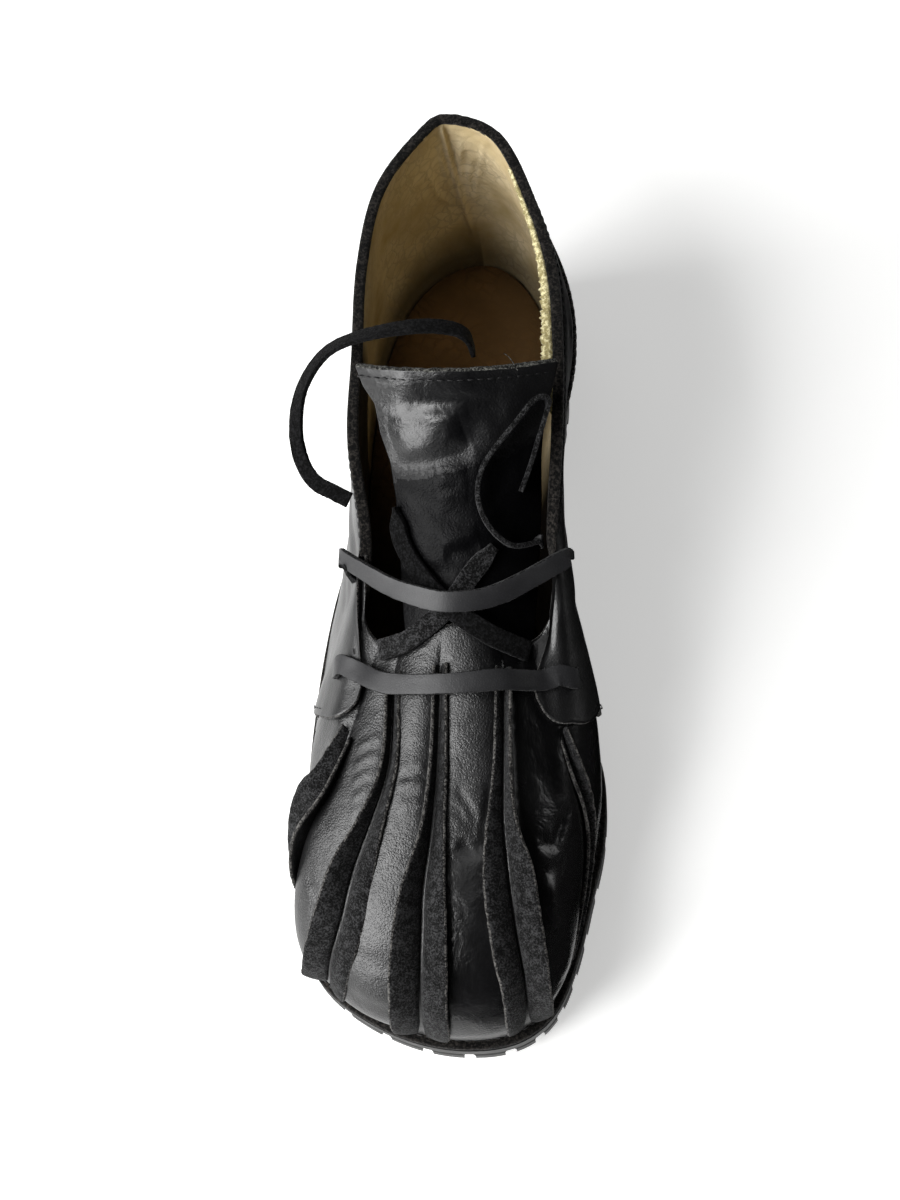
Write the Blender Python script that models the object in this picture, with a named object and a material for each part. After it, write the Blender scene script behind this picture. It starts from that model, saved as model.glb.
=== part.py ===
"""A right lace-up shoe of black leather on a lugged rubber sole, made of separate pieces.

Metres, +Z up. The toe points to -Y, the big-toe side is +X, and the floor is z = 0.
Lengths along the shoe are shares of SOLE_LENGTH, counted from the back of the heel.
"""

import math
from collections import namedtuple

import bmesh
import bpy
import numpy as np
from mathutils import Matrix, Vector

# Driving sizes
SOLE_LENGTH = 0.296
BALL_WIDTH = 0.1025
AXIS_X = 0.0073  # where the sole's long axis lies in the frame
ORIGIN_ALONG = 0.1487  # the frame's origin, from the back of the heel
HEEL_THICKNESS = 0.0250
FOREFOOT_THICKNESS = 0.0110
TOE_SPRING = 0.0090
WAIST_THICKNESS = 0.0085
WELT_THICKNESS = 0.0028
WELT_MARGIN = 0.0030  # how far the welt stands out past the upper's foot
INSOLE_THICKNESS = 0.0030
INSOLE_CLEARANCE = 0.0018  # between the insole's rim and the upper's wall
BACK_HEIGHT = 0.1160  # floor to the top of the heel's back
COLLAR_WIDTH = 0.0640
UPPER_WALL = 0.0022
QUARTER_WALL = 0.0015
TONGUE_WALL = 0.0020
FLAP_WALL = 0.0014
FLAP_WIDTH = 0.0110
LACE_WIDTH = 0.0062
LACE_THICKNESS = 0.0018
CORD_RADIUS = 0.0011
GAP = 0.0003  # between pieces that touch

# Tread
LUG_HEIGHT = 0.0050
GROOVE_WIDTH = 0.0030
GROOVE_BULB = 0.0056
FORE_GROOVES = 21
HEEL_GROOVES = 13
STUD_SPAN = 0.0130
STUD_ARM = 0.0044
HEEL_BREAST = 0.292  # share of the length where the heel block ends
TREAD_START = 0.512  # share of the length where the forefoot lugs begin

# How finely the curved pieces are divided
AROUND = 60
UPWARD = 9
ALONG_FLAP = 13
ALONG_TONGUE = 10
ACROSS_TONGUE = 8

# Half widths as shares of BALL_WIDTH, and how far the seat keeps the heel's height
Station = namedtuple("Station", "share medial lateral pitch spring")
STATIONS = [
    Station(0.00, 0.315, 0.385, 1.00, 0.00),
    Station(0.14, 0.315, 0.390, 1.00, 0.00),
    Station(0.22, 0.295, 0.415, 0.98, 0.00),
    Station(0.31, 0.235, 0.434, 0.86, 0.00),
    Station(0.40, 0.211, 0.450, 0.60, 0.00),
    Station(0.48, 0.227, 0.502, 0.33, 0.00),
    Station(0.54, 0.286, 0.530, 0.16, 0.00),
    Station(0.61, 0.361, 0.550, 0.04, 0.00),
    Station(0.68, 0.424, 0.559, 0.00, 0.00),
    Station(0.76, 0.425, 0.550, 0.00, 0.00),
    Station(0.84, 0.377, 0.524, 0.00, 0.10),
    Station(0.92, 0.333, 0.550, 0.00, 0.40),
    Station(1.00, 0.335, 0.490, 0.00, 1.00),
]
# The round ends of the outline: how long they are, and how square
HEEL_ROUND, HEEL_POWER = 0.19, 2.0
TOE_ROUND = {"lateral": 0.15, "medial": 0.13}
TOE_POWER = {"lateral": 2.0, "medial": 2.4}

# The upper's top edge, from the heel's back (turn 0) by the outer side to the throat (0.5) and back.
# along is a share of the length, aside of half the collar's width, height of the back's height.
# belly is a share of the ball's width; rise, reach and drop are shares of the line from foot to edge.
Edge = namedtuple("Edge", "turn along aside height belly rise reach drop")
TOP_EDGE = [
    Edge(0.00, 0.0205, -0.17, 1.002, 0.060, 0.34, 0.02, 0.34),
    Edge(0.05, 0.041, -0.47, 0.996, 0.060, 0.34, 0.02, 0.34),
    Edge(0.10, 0.108, -0.88, 0.974, 0.060, 0.34, 0.04, 0.34),
    Edge(0.15, 0.203, -1.04, 0.950, 0.035, 0.34, 0.00, 0.34),
    Edge(0.20, 0.311, -1.06, 0.918, -0.010, 0.28, 0.00, 0.34),
    Edge(0.25, 0.409, -1.07, 0.888, -0.070, 0.28, 0.00, 0.34),
    Edge(0.30, 0.497, -0.96, 0.784, -0.070, 0.26, 0.04, 0.30),
    Edge(0.34, 0.551, -0.97, 0.685, 0.020, 0.29, 0.22, 0.20),
    Edge(0.37, 0.583, -0.96, 0.630, 0.090, 0.32, 0.32, 0.13),
    Edge(0.40, 0.603, -0.80, 0.620, 0.120, 0.32, 0.36, 0.14),
    Edge(0.44, 0.605, -0.45, 0.680, 0.110, 0.31, 0.38, 0.16),
    Edge(0.50, 0.598, -0.05, 0.722, 0.050, 0.29, 0.38, 0.18),
    Edge(0.56, 0.603, 0.35, 0.690, 0.045, 0.30, 0.38, 0.16),
    Edge(0.60, 0.603, 0.68, 0.628, 0.045, 0.31, 0.36, 0.14),
    Edge(0.63, 0.583, 0.84, 0.645, 0.045, 0.31, 0.32, 0.13),
    Edge(0.66, 0.551, 0.89, 0.698, 0.050, 0.31, 0.28, 0.16),
    Edge(0.70, 0.500, 0.91, 0.784, 0.070, 0.30, 0.20, 0.24),
    Edge(0.75, 0.416, 0.97, 0.880, 0.095, 0.32, 0.12, 0.30),
    Edge(0.80, 0.321, 0.985, 0.914, 0.090, 0.34, 0.08, 0.32),
    Edge(0.85, 0.220, 0.93, 0.948, 0.070, 0.34, 0.06, 0.34),
    Edge(0.90, 0.131, 0.71, 0.970, 0.060, 0.34, 0.04, 0.34),
    Edge(0.95, 0.0475, 0.36, 0.993, 0.060, 0.34, 0.02, 0.34),
]

# Turned-out seams of the vamp, from the sole up. turn and up place the stitched line on the upper;
# left and right are how far the two flaps lean from upright, in degrees (minus to the outer side);
# width is a share of FLAP_WIDTH.
Flap = namedtuple("Flap", "up turn left right width")
SEAMS = {
    "toe_seam_1": [
        Flap(0.04, 0.374, -60, 70, 0.28),
        Flap(0.18, 0.370, -36, 78, 0.52),
        Flap(0.34, 0.3715, -38, 66, 0.90),
        Flap(0.48, 0.3775, -50, 50, 0.92),
        Flap(0.62, 0.3885, -62, 32, 0.68),
        Flap(0.76, 0.3935, -40, 20, 0.35),
    ],
    "toe_seam_2": [
        Flap(0.03, 0.416, -68, 80, 0.76),
        Flap(0.12, 0.4212, -62, 80, 0.78),
        Flap(0.26, 0.4242, -60, 80, 0.80),
        Flap(0.40, 0.4277, -46, 78, 0.78),
        Flap(0.52, 0.429, -30, 76, 0.70),
        Flap(0.62, 0.4332, -16, 60, 0.50),
        Flap(0.72, 0.437, 0, 50, 0.36),
        Flap(0.93, 0.4222, 14, 56, 0.30),
    ],
    "toe_seam_3": [
        Flap(0.02, 0.4738, -74, 80, 0.74),
        Flap(0.10, 0.4755, -62, 72, 0.82),
        Flap(0.22, 0.476, -52, 64, 0.89),
        Flap(0.40, 0.4764, -50, 56, 0.88),
        Flap(0.52, 0.4761, -36, 50, 0.76),
        Flap(0.63, 0.4795, -20, 42, 0.50),
        Flap(0.75, 0.4811, -14, 38, 0.32),
        Flap(0.93, 0.479, -8, 31, 0.28),
    ],
    "toe_seam_4": [
        Flap(0.03, 0.5425, -84, 72, 0.62),
        Flap(0.12, 0.5432, -82, 50, 0.70),
        Flap(0.26, 0.543, -76, 30, 0.78),
        Flap(0.42, 0.5398, -72, 42, 0.78),
        Flap(0.54, 0.5394, -68, 38, 0.76),
        Flap(0.64, 0.541, -62, 24, 0.50),
        Flap(0.74, 0.5485, -56, 8, 0.34),
        Flap(0.93, 0.564, -56, -4, 0.28),
    ],
    "toe_seam_5": [
        Flap(0.04, 0.597, -50, 40, 0.24),
        Flap(0.15, 0.621, -50, 30, 0.28),
        Flap(0.28, 0.640, -50, 24, 0.30),
        Flap(0.42, 0.643, -50, 20, 0.30),
        Flap(0.56, 0.636, -54, 10, 0.32),
        Flap(0.69, 0.628, -56, 10, 0.24),
    ],
}

# The two recesses of the tread: middle, half sizes, skew and squareness
Recess = namedtuple("Recess", "along aside half_length half_width skew power")
FORE_RECESS = Recess(0.690, -0.100, 0.165, 0.170, 0.11, 1.7)
HEEL_RECESS = Recess(0.206, -0.050, 0.071, 0.064, 0.0, 3.0)
STUDS = [
    (0.551, -0.180), (0.613, -0.088), (0.667, -0.183), (0.697, -0.033), (0.754, -0.103), (0.815, -0.020),
]
HEEL_STUDS = [(0.208, -0.050)]

# Outlines of the overlays, drawn on the upper's own surface as (turn, up)
QUARTER_LATERAL = [
    (0.291, 0.00), (0.297, 0.20), (0.317, 0.405), (0.335, 0.54), (0.350, 0.63), (0.3635, 0.70),
    (0.377, 0.76), (0.387, 0.81), (0.3915, 0.84), (0.391, 0.87), (0.386, 0.895), (0.376, 0.92),
    (0.345, 0.95), (0.326, 0.97),
]
QUARTER_MEDIAL = [
    (0.709, 0.00), (0.704, 0.20), (0.684, 0.44), (0.640, 0.67), (0.618, 0.755), (0.602, 0.82),
    (0.593, 0.86), (0.593, 0.90), (0.602, 0.93), (0.640, 0.965), (0.660, 0.975),
]
COUNTER_EDGE = [(0.182, 0.00), (0.178, 0.22), (0.162, 0.40), (0.122, 0.49), (0.060, 0.54), (0.000, 0.55)]

# Tongue: centre line and half width, from under the throat to its top edge
Tongue = namedtuple("Tongue", "up along height left right arch")
TONGUE = [
    Tongue(0.00, 0.635, 0.645, -0.66, 0.66, 0.06),
    Tongue(0.14, 0.596, 0.684, -0.74, 0.70, 0.09),
    Tongue(0.42, 0.518, 0.812, -0.82, 0.78, 0.11),
    Tongue(0.70, 0.440, 0.955, -0.92, 0.82, 0.10),
    Tongue(1.00, 0.380, 1.103, -0.98, 0.98, 0.09),
]

# Where the laces go through the quarters, as (turn, up)
HOLES = {
    "lateral": [(0.336, 0.705), (0.292, 0.825), (0.272, 0.905)],
    "medial": [(0.665, 0.685), (0.706, 0.825), (0.728, 0.905)],
}


def curve(knots, values, at, period=None):
    """A smooth curve through the values at the knots, read at one or many places."""
    knots, values = np.asarray(knots, float), np.asarray(values, float)
    at = np.asarray(at, float)
    if period:
        at = at % period
        knots = np.concatenate([knots[-2:] - period, knots, knots[:2] + period])
        values = np.concatenate([values[-2:], values, values[:2]])
    slopes = np.gradient(values, knots)
    i = np.clip(np.searchsorted(knots, at, side="right") - 1, 0, len(knots) - 2)
    step = knots[i + 1] - knots[i]
    t = (at - knots[i]) / step
    return (
        values[i] * (1 + 2 * t) * (1 - t) ** 2
        + slopes[i] * step * t * (1 - t) ** 2
        + values[i + 1] * t * t * (3 - 2 * t)
        + slopes[i + 1] * step * t * t * (t - 1)
    )


def column(rows, name):
    return [getattr(row, name) for row in rows]


def read(rows, key, name, at, period=None):
    """Column `name` of a table, read at places along its column `key`."""
    return curve(column(rows, key), column(rows, name), at, period)


def to_frame(along, aside, height):
    """Distances from the heel's back, from the long axis and from the floor, as frame points."""
    return np.stack(np.broadcast_arrays(aside + AXIS_X, ORIGIN_ALONG - along, height), axis=-1)


def outline(turn):
    """The sole's outline at turns of 0 to 1: distance from the heel's back, and from the axis."""
    turn = np.asarray(turn, float) % 1.0
    share = 0.5 - 0.5 * np.cos(2 * math.pi * turn)
    lateral = turn < 0.5
    heel = np.clip(1 - share / HEEL_ROUND, 0, 1)
    half = (1 - heel**HEEL_POWER) ** (1 / HEEL_POWER)
    sides = {}
    for side in ("lateral", "medial"):
        toe = np.clip((share - 1 + TOE_ROUND[side]) / TOE_ROUND[side], 0, 1)
        rounding = (1 - toe ** TOE_POWER[side]) ** (1 / TOE_POWER[side])
        sides[side] = read(STATIONS, "share", side, share) * BALL_WIDTH * half * rounding
    return share * SOLE_LENGTH, np.where(lateral, -sides["lateral"], sides["medial"])


def inset_outline(turn, inset):
    """The outline moved inwards by `inset`."""
    along, aside = outline(turn)
    nudge = 1e-3
    before, after = outline(turn - nudge), outline(turn + nudge)
    da, dx = after[0] - before[0], after[1] - before[1]
    size = np.hypot(da, dx)
    return along - inset * dx / size, aside + inset * da / size


def outward(turn):
    """The outline's outward direction at these turns, as (along, aside)."""
    here, inside = outline(turn), inset_outline(turn, 0.001)
    return (here[0] - inside[0]) / 0.001, (here[1] - inside[1]) / 0.001


def tread_height(along):
    return TOE_SPRING * np.maximum(read(STATIONS, "share", "spring", along / SOLE_LENGTH), 0)


def seat_height(along):
    """Top of the rubber sole."""
    pitch = read(STATIONS, "share", "pitch", along / SOLE_LENGTH)
    rise = HEEL_THICKNESS - FOREFOOT_THICKNESS
    return FOREFOOT_THICKNESS + rise * pitch + tread_height(along)


def welt_top(along):
    return seat_height(along) + GAP + WELT_THICKNESS


def foot_height(along):
    return welt_top(along) + GAP


def upper_points(turn, up):
    """The upper's outer surface: turn runs round the shoe, up from the sole to the top edge."""
    turn, up = np.broadcast_arrays(np.asarray(turn, float), np.asarray(up, float))
    along, aside = inset_outline(turn, WELT_MARGIN)
    foot = to_frame(along, aside, foot_height(along))
    edge = {name: read(TOP_EDGE, "turn", name, turn, 1.0) for name in Edge._fields[1:]}
    head = to_frame(
        edge["along"] * SOLE_LENGTH,
        edge["aside"] * COLLAR_WIDTH / 2,
        edge["height"] * BACK_HEIGHT,
    )
    out_along, out_aside = outward(turn)
    out = np.stack([out_aside, -out_along, np.zeros_like(out_along)], axis=-1)
    flat = (foot - head) * np.array([1.0, 1.0, 0.0])
    distance = np.linalg.norm(flat, axis=-1, keepdims=True)
    share = np.clip(distance / (0.5 * COLLAR_WIDTH), 0, 1)
    lean = out * (1 - share) + flat / np.maximum(distance, 1e-6) * share
    chord = np.linalg.norm(foot - head, axis=-1, keepdims=True)
    rising = np.array([0.0, 0.0, 1.0])
    low = foot + out * (edge["belly"] * BALL_WIDTH)[..., None] + rising * edge["rise"][..., None] * chord
    high = head + lean * edge["reach"][..., None] * chord - rising * edge["drop"][..., None] * chord
    t = up[..., None]
    return (
        foot * (1 - t) ** 3 + 3 * low * t * (1 - t) ** 2 + 3 * high * t**2 * (1 - t) + head * t**3
    )


def upper_normals(turn, up):
    """Outward directions of that surface. At the sole they lie flat."""
    turn, up = np.broadcast_arrays(np.asarray(turn, float), np.asarray(up, float))
    low, high = np.clip(up - 0.02, 0, 1), np.clip(up + 0.02, 0, 1)
    rising = upper_points(turn, high) - upper_points(turn, low)
    around = upper_points(turn + 0.004, up) - upper_points(turn - 0.004, up)
    normal = np.cross(around, rising)
    normal[..., 2] *= np.clip(up / 0.15, 0, 1)
    return normal / np.linalg.norm(normal, axis=-1, keepdims=True)


def grid_tables():
    turn = np.arange(AROUND) / AROUND
    up = np.linspace(0, 1, UPWARD + 1)
    turns, ups = np.meshgrid(turn, up, indexing="ij")
    return upper_points(turns, ups), upper_normals(turns, ups)


def on_grid(table, a, b):
    """A grid's value at cell coordinates a round and b up, flat over each of its triangles."""
    i, j = int(math.floor(a)), min(int(math.floor(b)), UPWARD - 1)
    fa, fb = a - i, b - j
    p00, p10 = table[i % AROUND, j], table[(i + 1) % AROUND, j]
    p01, p11 = table[i % AROUND, j + 1], table[(i + 1) % AROUND, j + 1]
    if fa >= fb:
        return p00 + (p10 - p00) * fa + (p11 - p10) * fb
    return p00 + (p11 - p01) * fa + (p01 - p00) * fb


def material(name, colour, roughness):
    made = bpy.data.materials.new(name)
    made.use_nodes = True
    shader = made.node_tree.nodes["Principled BSDF"]
    shader.inputs["Base Color"].default_value = (*colour, 1.0)
    shader.inputs["Roughness"].default_value = roughness
    shader.inputs["Metallic"].default_value = 0.0
    return made


def add_object(name, mesh, finish, collection, parent):
    made = bpy.data.objects.new(name, mesh)
    made.data.materials.clear()
    made.data.materials.append(finish)
    collection.objects.link(made)
    made.parent = parent
    return made


def mesh_from(name, points, faces):
    mesh = bpy.data.meshes.new(name)
    mesh.from_pydata([tuple(map(float, p)) for p in points], [], faces)
    mesh.update()
    return mesh


def evaluated_mesh(owner):
    bpy.context.view_layer.update()
    graph = bpy.context.evaluated_depsgraph_get()
    return bpy.data.meshes.new_from_object(owner.evaluated_get(graph))


def cut(target, operation, tools):
    """Booleans each tool object into the target object's mesh, and removes the tools."""
    group = bpy.data.collections.new("cutters")
    bpy.context.scene.collection.children.link(group)
    for tool in tools:
        group.objects.link(tool)
        tool.hide_render = True
        tool.display_type = "WIRE"
    step = target.modifiers.new("cut", "BOOLEAN")
    step.operand_type = "COLLECTION"
    step.collection = group
    step.operation = operation
    mesh = evaluated_mesh(target)
    target.modifiers.remove(step)
    old = target.data
    target.data = mesh
    bpy.data.meshes.remove(old)
    for tool in list(group.objects):
        bpy.data.objects.remove(tool)
    bpy.data.collections.remove(group)


def prism(name, corners, low, high):
    """A flat outline given as (x, y) corners, made solid from z = low to z = high."""
    shape = bmesh.new()
    base = [shape.verts.new((x, y, low)) for x, y in corners]
    face = shape.faces.new(base)
    raised = bmesh.ops.extrude_face_region(shape, geom=[face])
    tops = [v for v in raised["geom"] if isinstance(v, bmesh.types.BMVert)]
    bmesh.ops.translate(shape, verts=tops, vec=(0, 0, high - low))
    bmesh.ops.recalc_face_normals(shape, faces=shape.faces)
    mesh = bpy.data.meshes.new(name)
    shape.to_mesh(mesh)
    shape.free()
    return bpy.data.objects.new(name, mesh)


def slab(name, along, aside, low, high):
    """A solid inside a closed outline, its underside and top at heights read along the shoe."""
    count = len(along)
    half = count // 2
    faces = []
    for start, flip in ((0, False), (count, True)):
        strips = [[start + 1, start, start + count - 1]]
        for i in range(1, half - 1):
            strips.append([start + i + 1, start + i, start + count - i, start + count - i - 1])
        strips.append([start + half, start + half - 1, start + half + 1])
        faces += [strip[::-1] if flip else strip for strip in strips]
    for i in range(count):
        j = (i + 1) % count
        faces.append([i, j, count + j, count + i])
    points = [to_frame(along, aside, low(along)), to_frame(along, aside, high(along))]
    return mesh_from(name, np.concatenate(points), faces)


def plate(name, inset, low, high):
    """A slab with the sole's outline."""
    return slab(name, *inset_outline(np.arange(AROUND) / AROUND, inset), low, high)


def groove(start, end):
    """A cutter for one groove of the tread, from its inner end to past the sole's edge."""
    way = Vector((end[0] - start[0], end[1] - start[1]))
    narrow, bulb = GROOVE_WIDTH / 2, GROOVE_BULB / 2
    middle, reach = 0.42 * way.length, GROOVE_BULB * 0.55
    side = [
        (-GROOVE_WIDTH, narrow),
        (middle - reach, narrow),
        (middle, bulb),
        (middle + reach, narrow),
        (way.length + GROOVE_WIDTH, narrow),
    ]
    turned = Matrix.Rotation(math.atan2(way.y, way.x), 2)
    corners = [turned @ Vector(c) for c in side + [(x, -y) for x, y in reversed(side)]]
    return prism("groove", [(start[0] + c.x, start[1] + c.y) for c in corners], -LUG_HEIGHT, LUG_HEIGHT)


def recess_outline(recess, turn):
    """A recess's outline as (along, aside): a rounded shape with a skew."""
    angle = 2 * math.pi * np.asarray(turn, float)
    c, s = np.cos(angle), np.sin(angle)
    half_length, half_width = recess.half_length * SOLE_LENGTH, recess.half_width * BALL_WIDTH
    along = half_length * np.sign(c) * np.abs(c) ** (2 / recess.power)
    aside = half_width * np.sign(s) * np.abs(s) ** (2 / recess.power)
    middle = recess.along * SOLE_LENGTH, recess.aside * BALL_WIDTH
    return middle[0] + along, middle[1] + aside + recess.skew * along


def groove_fan(recess, count, outer, inner):
    """Grooves from the recess to the edge, spread evenly between two outer and two inner turns."""
    made = []
    for k in range(count):
        share = k / (count - 1)
        end = outline(outer[0] + (outer[1] - outer[0]) * share)
        start = recess_outline(recess, inner[0] + (inner[1] - inner[0]) * share)
        made.append(groove(to_frame(*start, 0.0)[:2], to_frame(*end, 0.0)[:2]))
    return made


def stud(along, aside):
    """A plus-shaped stud standing in a recess."""
    x, y = to_frame(along, aside, 0.0)[:2]
    arm, half = STUD_SPAN / 2, STUD_ARM / 2
    corner = [(arm, half), (half, half), (half, arm), (-half, arm), (-half, half), (-arm, half)]
    corners = corner + [(-a, -b) for a, b in corner]
    turned = [(x + (a - b) * math.sqrt(0.5), y + (a + b) * math.sqrt(0.5)) for a, b in corners]
    return prism("stud", turned, 0.0, LUG_HEIGHT + 0.001)


def recess_cutter(recess):
    corners = to_frame(*recess_outline(recess, np.arange(14) / 14), 0.0)
    return prism("recess", [(p[0], p[1]) for p in corners], -LUG_HEIGHT, LUG_HEIGHT)


def waist_cutter():
    """What is taken away under the arch, between the heel block and the forefoot's lugs."""
    breast, front = HEEL_BREAST * SOLE_LENGTH, TREAD_START * SOLE_LENGTH
    arch = np.linspace(breast, front, 9)
    top = seat_height(arch) - WAIST_THICKNESS
    top += (LUG_HEIGHT - top) * np.clip((arch - breast) / (front - breast), 0, 1) ** 3
    side = [(breast, -LUG_HEIGHT), *zip(arch, top), (front, -LUG_HEIGHT)]
    rings = [[to_frame(a, aside, h) for a, h in side] for aside in (-BALL_WIDTH, BALL_WIDTH)]
    return bpy.data.objects.new("waist", loft("waist", np.array(rings)))


def make_outsole(finish, collection, parent):
    """The rubber unit, cut flat and then given its toe spring."""
    def flat_top(along):
        return seat_height(along) - tread_height(along)

    mesh = plate("outsole", 0.0, lambda along: along * 0.0, flat_top)
    made = add_object("outsole", mesh, finish, collection, parent)
    tools = [waist_cutter(), recess_cutter(FORE_RECESS), recess_cutter(HEEL_RECESS)]
    tools += groove_fan(FORE_RECESS, FORE_GROOVES, (0.262, 0.738), (-0.43, 0.43))
    tools += groove_fan(HEEL_RECESS, HEEL_GROOVES, (0.178, -0.178), (-0.06, -0.94))
    cut(made, "DIFFERENCE", tools)
    places = [(a * SOLE_LENGTH, x * BALL_WIDTH) for a, x in STUDS + HEEL_STUDS]
    cut(made, "UNION", [stud(a, x) for a, x in places])
    for vertex in made.data.vertices:
        vertex.co.z += float(tread_height(ORIGIN_ALONG - vertex.co.y))
    return made


def make_welt(finish, collection, parent):
    mesh = plate("welt", 0.0, lambda along: seat_height(along) + GAP, welt_top)
    return add_object("welt", mesh, finish, collection, parent)


def make_insole(finish, collection, parent):
    inset = WELT_MARGIN + UPPER_WALL + INSOLE_CLEARANCE
    mesh = plate("insole", inset, foot_height, lambda along: foot_height(along) + INSOLE_THICKNESS)
    return add_object("insole", mesh, finish, collection, parent)


def make_upper(finish, collection, parent, points, normals):
    """The hollow upper: vamp and lining in one wall, open at the top and at the sole."""
    outer = points.reshape(-1, 3)
    inner = (points - normals * UPPER_WALL).reshape(-1, 3)
    rows = UPWARD + 1
    faces = []
    for i in range(AROUND):
        k = (i + 1) % AROUND
        for j in range(UPWARD):
            a, b = i * rows + j, k * rows + j
            for corners in ((a, b, b + 1), (a, b + 1, a + 1)):
                faces.append(corners)
                faces.append([len(outer) + c for c in corners[::-1]])
        for j, flip in ((0, True), (UPWARD, False)):
            rim = [i * rows + j, k * rows + j, len(outer) + k * rows + j, len(outer) + i * rows + j]
            faces.append(rim[::-1] if flip else rim)
    mesh = mesh_from("upper", np.concatenate([outer, inner]), faces)
    return add_object("upper", mesh, finish, collection, parent)


CELL = 0.01  # one grid cell, while an overlay is cut flat


def overlay(name, corners, first, last, finish, collection, parent, tables):
    """A sheet on the upper between turns `first` and `last`, cut to an outline of (turn, up) corners."""
    points, normals = tables
    low, high = GAP, GAP + QUARTER_WALL
    i0, i1 = math.floor(first * AROUND), math.ceil(last * AROUND)
    rows, columns = UPWARD + 1, i1 - i0 + 1
    flat, faces = [], []
    for level in (0, 1):
        for i in range(columns):
            for j in range(rows):
                flat.append(((i0 + i) * CELL, j * CELL, level * CELL))
    count = rows * columns
    for i in range(columns - 1):
        for j in range(rows - 1):
            a, b = i * rows + j, (i + 1) * rows + j
            for triangle in ((a, b, b + 1), (a, b + 1, a + 1)):
                faces.append(triangle[::-1])
                faces.append([count + c for c in triangle])
    edge = [i * rows for i in range(columns)]
    edge += [(columns - 1) * rows + j for j in range(1, rows)]
    edge += [i * rows + rows - 1 for i in range(columns - 2, -1, -1)]
    edge += [j for j in range(rows - 2, 0, -1)]
    for a, b in zip(edge, edge[1:] + edge[:1]):
        faces.append([a, b, count + b, count + a])
    made = add_object(name, mesh_from(name, flat, faces), finish, collection, parent)
    shape = [(turn * AROUND * CELL, up * UPWARD * CELL) for turn, up in corners]
    cut(made, "INTERSECT", [prism("pattern", shape, -CELL, 2 * CELL)])
    for vertex in made.data.vertices:
        a, b, level = (value / CELL for value in vertex.co)
        b = min(max(b, 0.0), float(UPWARD))
        height = low + (high - low) * level
        vertex.co = on_grid(points, a, b) + on_grid(normals, a, b) * height
    return made


def mirrored(corners):
    return [(1 - turn, up) for turn, up in corners]


def make_quarters(finish, collection, parent, tables):
    seam, over = 0.0008, 1.02
    back = [(turn + 0.002, up + 0.008) for turn, up in reversed(COUNTER_EDGE)]
    back = [(seam, over), (seam, back[0][1])] + back[1:] + [(back[-1][0], -0.02)]
    sheets = {}
    for side, front in (("lateral", QUARTER_LATERAL), ("medial", mirrored(QUARTER_MEDIAL))):
        corners = [(front[0][0], -0.02)] + front + [(front[-1][0] - 0.012, over)] + back
        sheets[side] = corners
    made = []
    for side, first, last in (("lateral", 0.0, 0.42), ("medial", 0.58, 1.0)):
        corners = sheets[side] if side == "lateral" else mirrored(sheets[side])[::-1]
        name = "quarter_" + side
        made.append(overlay(name, corners, first, last, finish, collection, parent, tables))
    return made


def make_counter(finish, collection, parent, tables):
    """The stiffener round the back of the heel, below the quarters."""
    side = [(COUNTER_EDGE[0][0], -0.02)] + COUNTER_EDGE
    other = [(-turn, up) for turn, up in reversed(side[:-1])]
    return overlay("heel_counter", side + other, -0.21, 0.21, finish, collection, parent, tables)


def loft(name, rings):
    """A solid through closed rings of points, with flat ends."""
    count = len(rings[0])
    faces = [list(range(count))[::-1], [(len(rings) - 1) * count + i for i in range(count)]]
    for r in range(len(rings) - 1):
        for i in range(count):
            j = (i + 1) % count
            faces.append([r * count + i, r * count + j, (r + 1) * count + j, (r + 1) * count + i])
    mesh = mesh_from(name, np.concatenate(rings), faces)
    shape = bmesh.new()
    shape.from_mesh(mesh)
    bmesh.ops.recalc_face_normals(shape, faces=shape.faces)
    shape.to_mesh(mesh)
    shape.free()
    return mesh


def flap_ring(centre, across, normal, left, right, width):
    """The V of two flaps at one place along a seam."""
    sides = []
    for lean, side in ((left, -1), (right, 1)):
        angle = math.radians(lean)
        way = across * math.sin(angle) + normal * math.cos(angle)
        thick = (across * math.cos(angle) - normal * math.sin(angle)) * side
        base = centre + across * side * FLAP_WALL + normal * 2 * GAP
        sides.append([base, base + way * width, base + way * width - thick * FLAP_WALL])
    valley = centre + normal * (2 * GAP + FLAP_WALL)
    return np.array([*sides[0], valley, *sides[1][::-1]])


def make_seams(finish, collection, parent):
    made = []
    for name, rows in SEAMS.items():
        rings = []
        for up in np.linspace(rows[0].up, rows[-1].up, ALONG_FLAP):
            flap = {key: float(read(rows, "up", key, up)) for key in Flap._fields[1:]}
            turn = flap["turn"]
            centre, normal = upper_points(turn, up), upper_normals(turn, up)
            across = upper_points(turn + 0.004, up) - upper_points(turn - 0.004, up)
            across -= normal * (across @ normal)
            across /= np.linalg.norm(across)
            width = FLAP_WIDTH * flap["width"]
            rings.append(flap_ring(centre, across, normal, flap["left"], flap["right"], width))
        made.append(add_object(name, loft(name, rings), finish, collection, parent))
    return made


def tongue_points(up, across, lift=0.0):
    """The tongue's outer face: up runs from the throat to its top, across from -1 to 1."""
    up, across = np.broadcast_arrays(np.asarray(up, float), np.asarray(across, float))
    value = {name: read(TONGUE, "up", name, up) for name in Tongue._fields[1:]}
    rise = np.gradient(column(TONGUE, "height"), column(TONGUE, "up")) * BACK_HEIGHT
    back = -np.gradient(column(TONGUE, "along"), column(TONGUE, "up")) * SOLE_LENGTH
    rise, back = curve(column(TONGUE, "up"), rise, up), curve(column(TONGUE, "up"), back, up)
    size = np.hypot(rise, back)
    aside = COLLAR_WIDTH / 2 * np.where(across < 0, -across * value["left"], across * value["right"])
    depth = lift - value["arch"] * BACK_HEIGHT * across**2
    along = value["along"] * SOLE_LENGTH + depth * rise / size
    return to_frame(along, aside, value["height"] * BACK_HEIGHT + depth * back / size)


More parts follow.
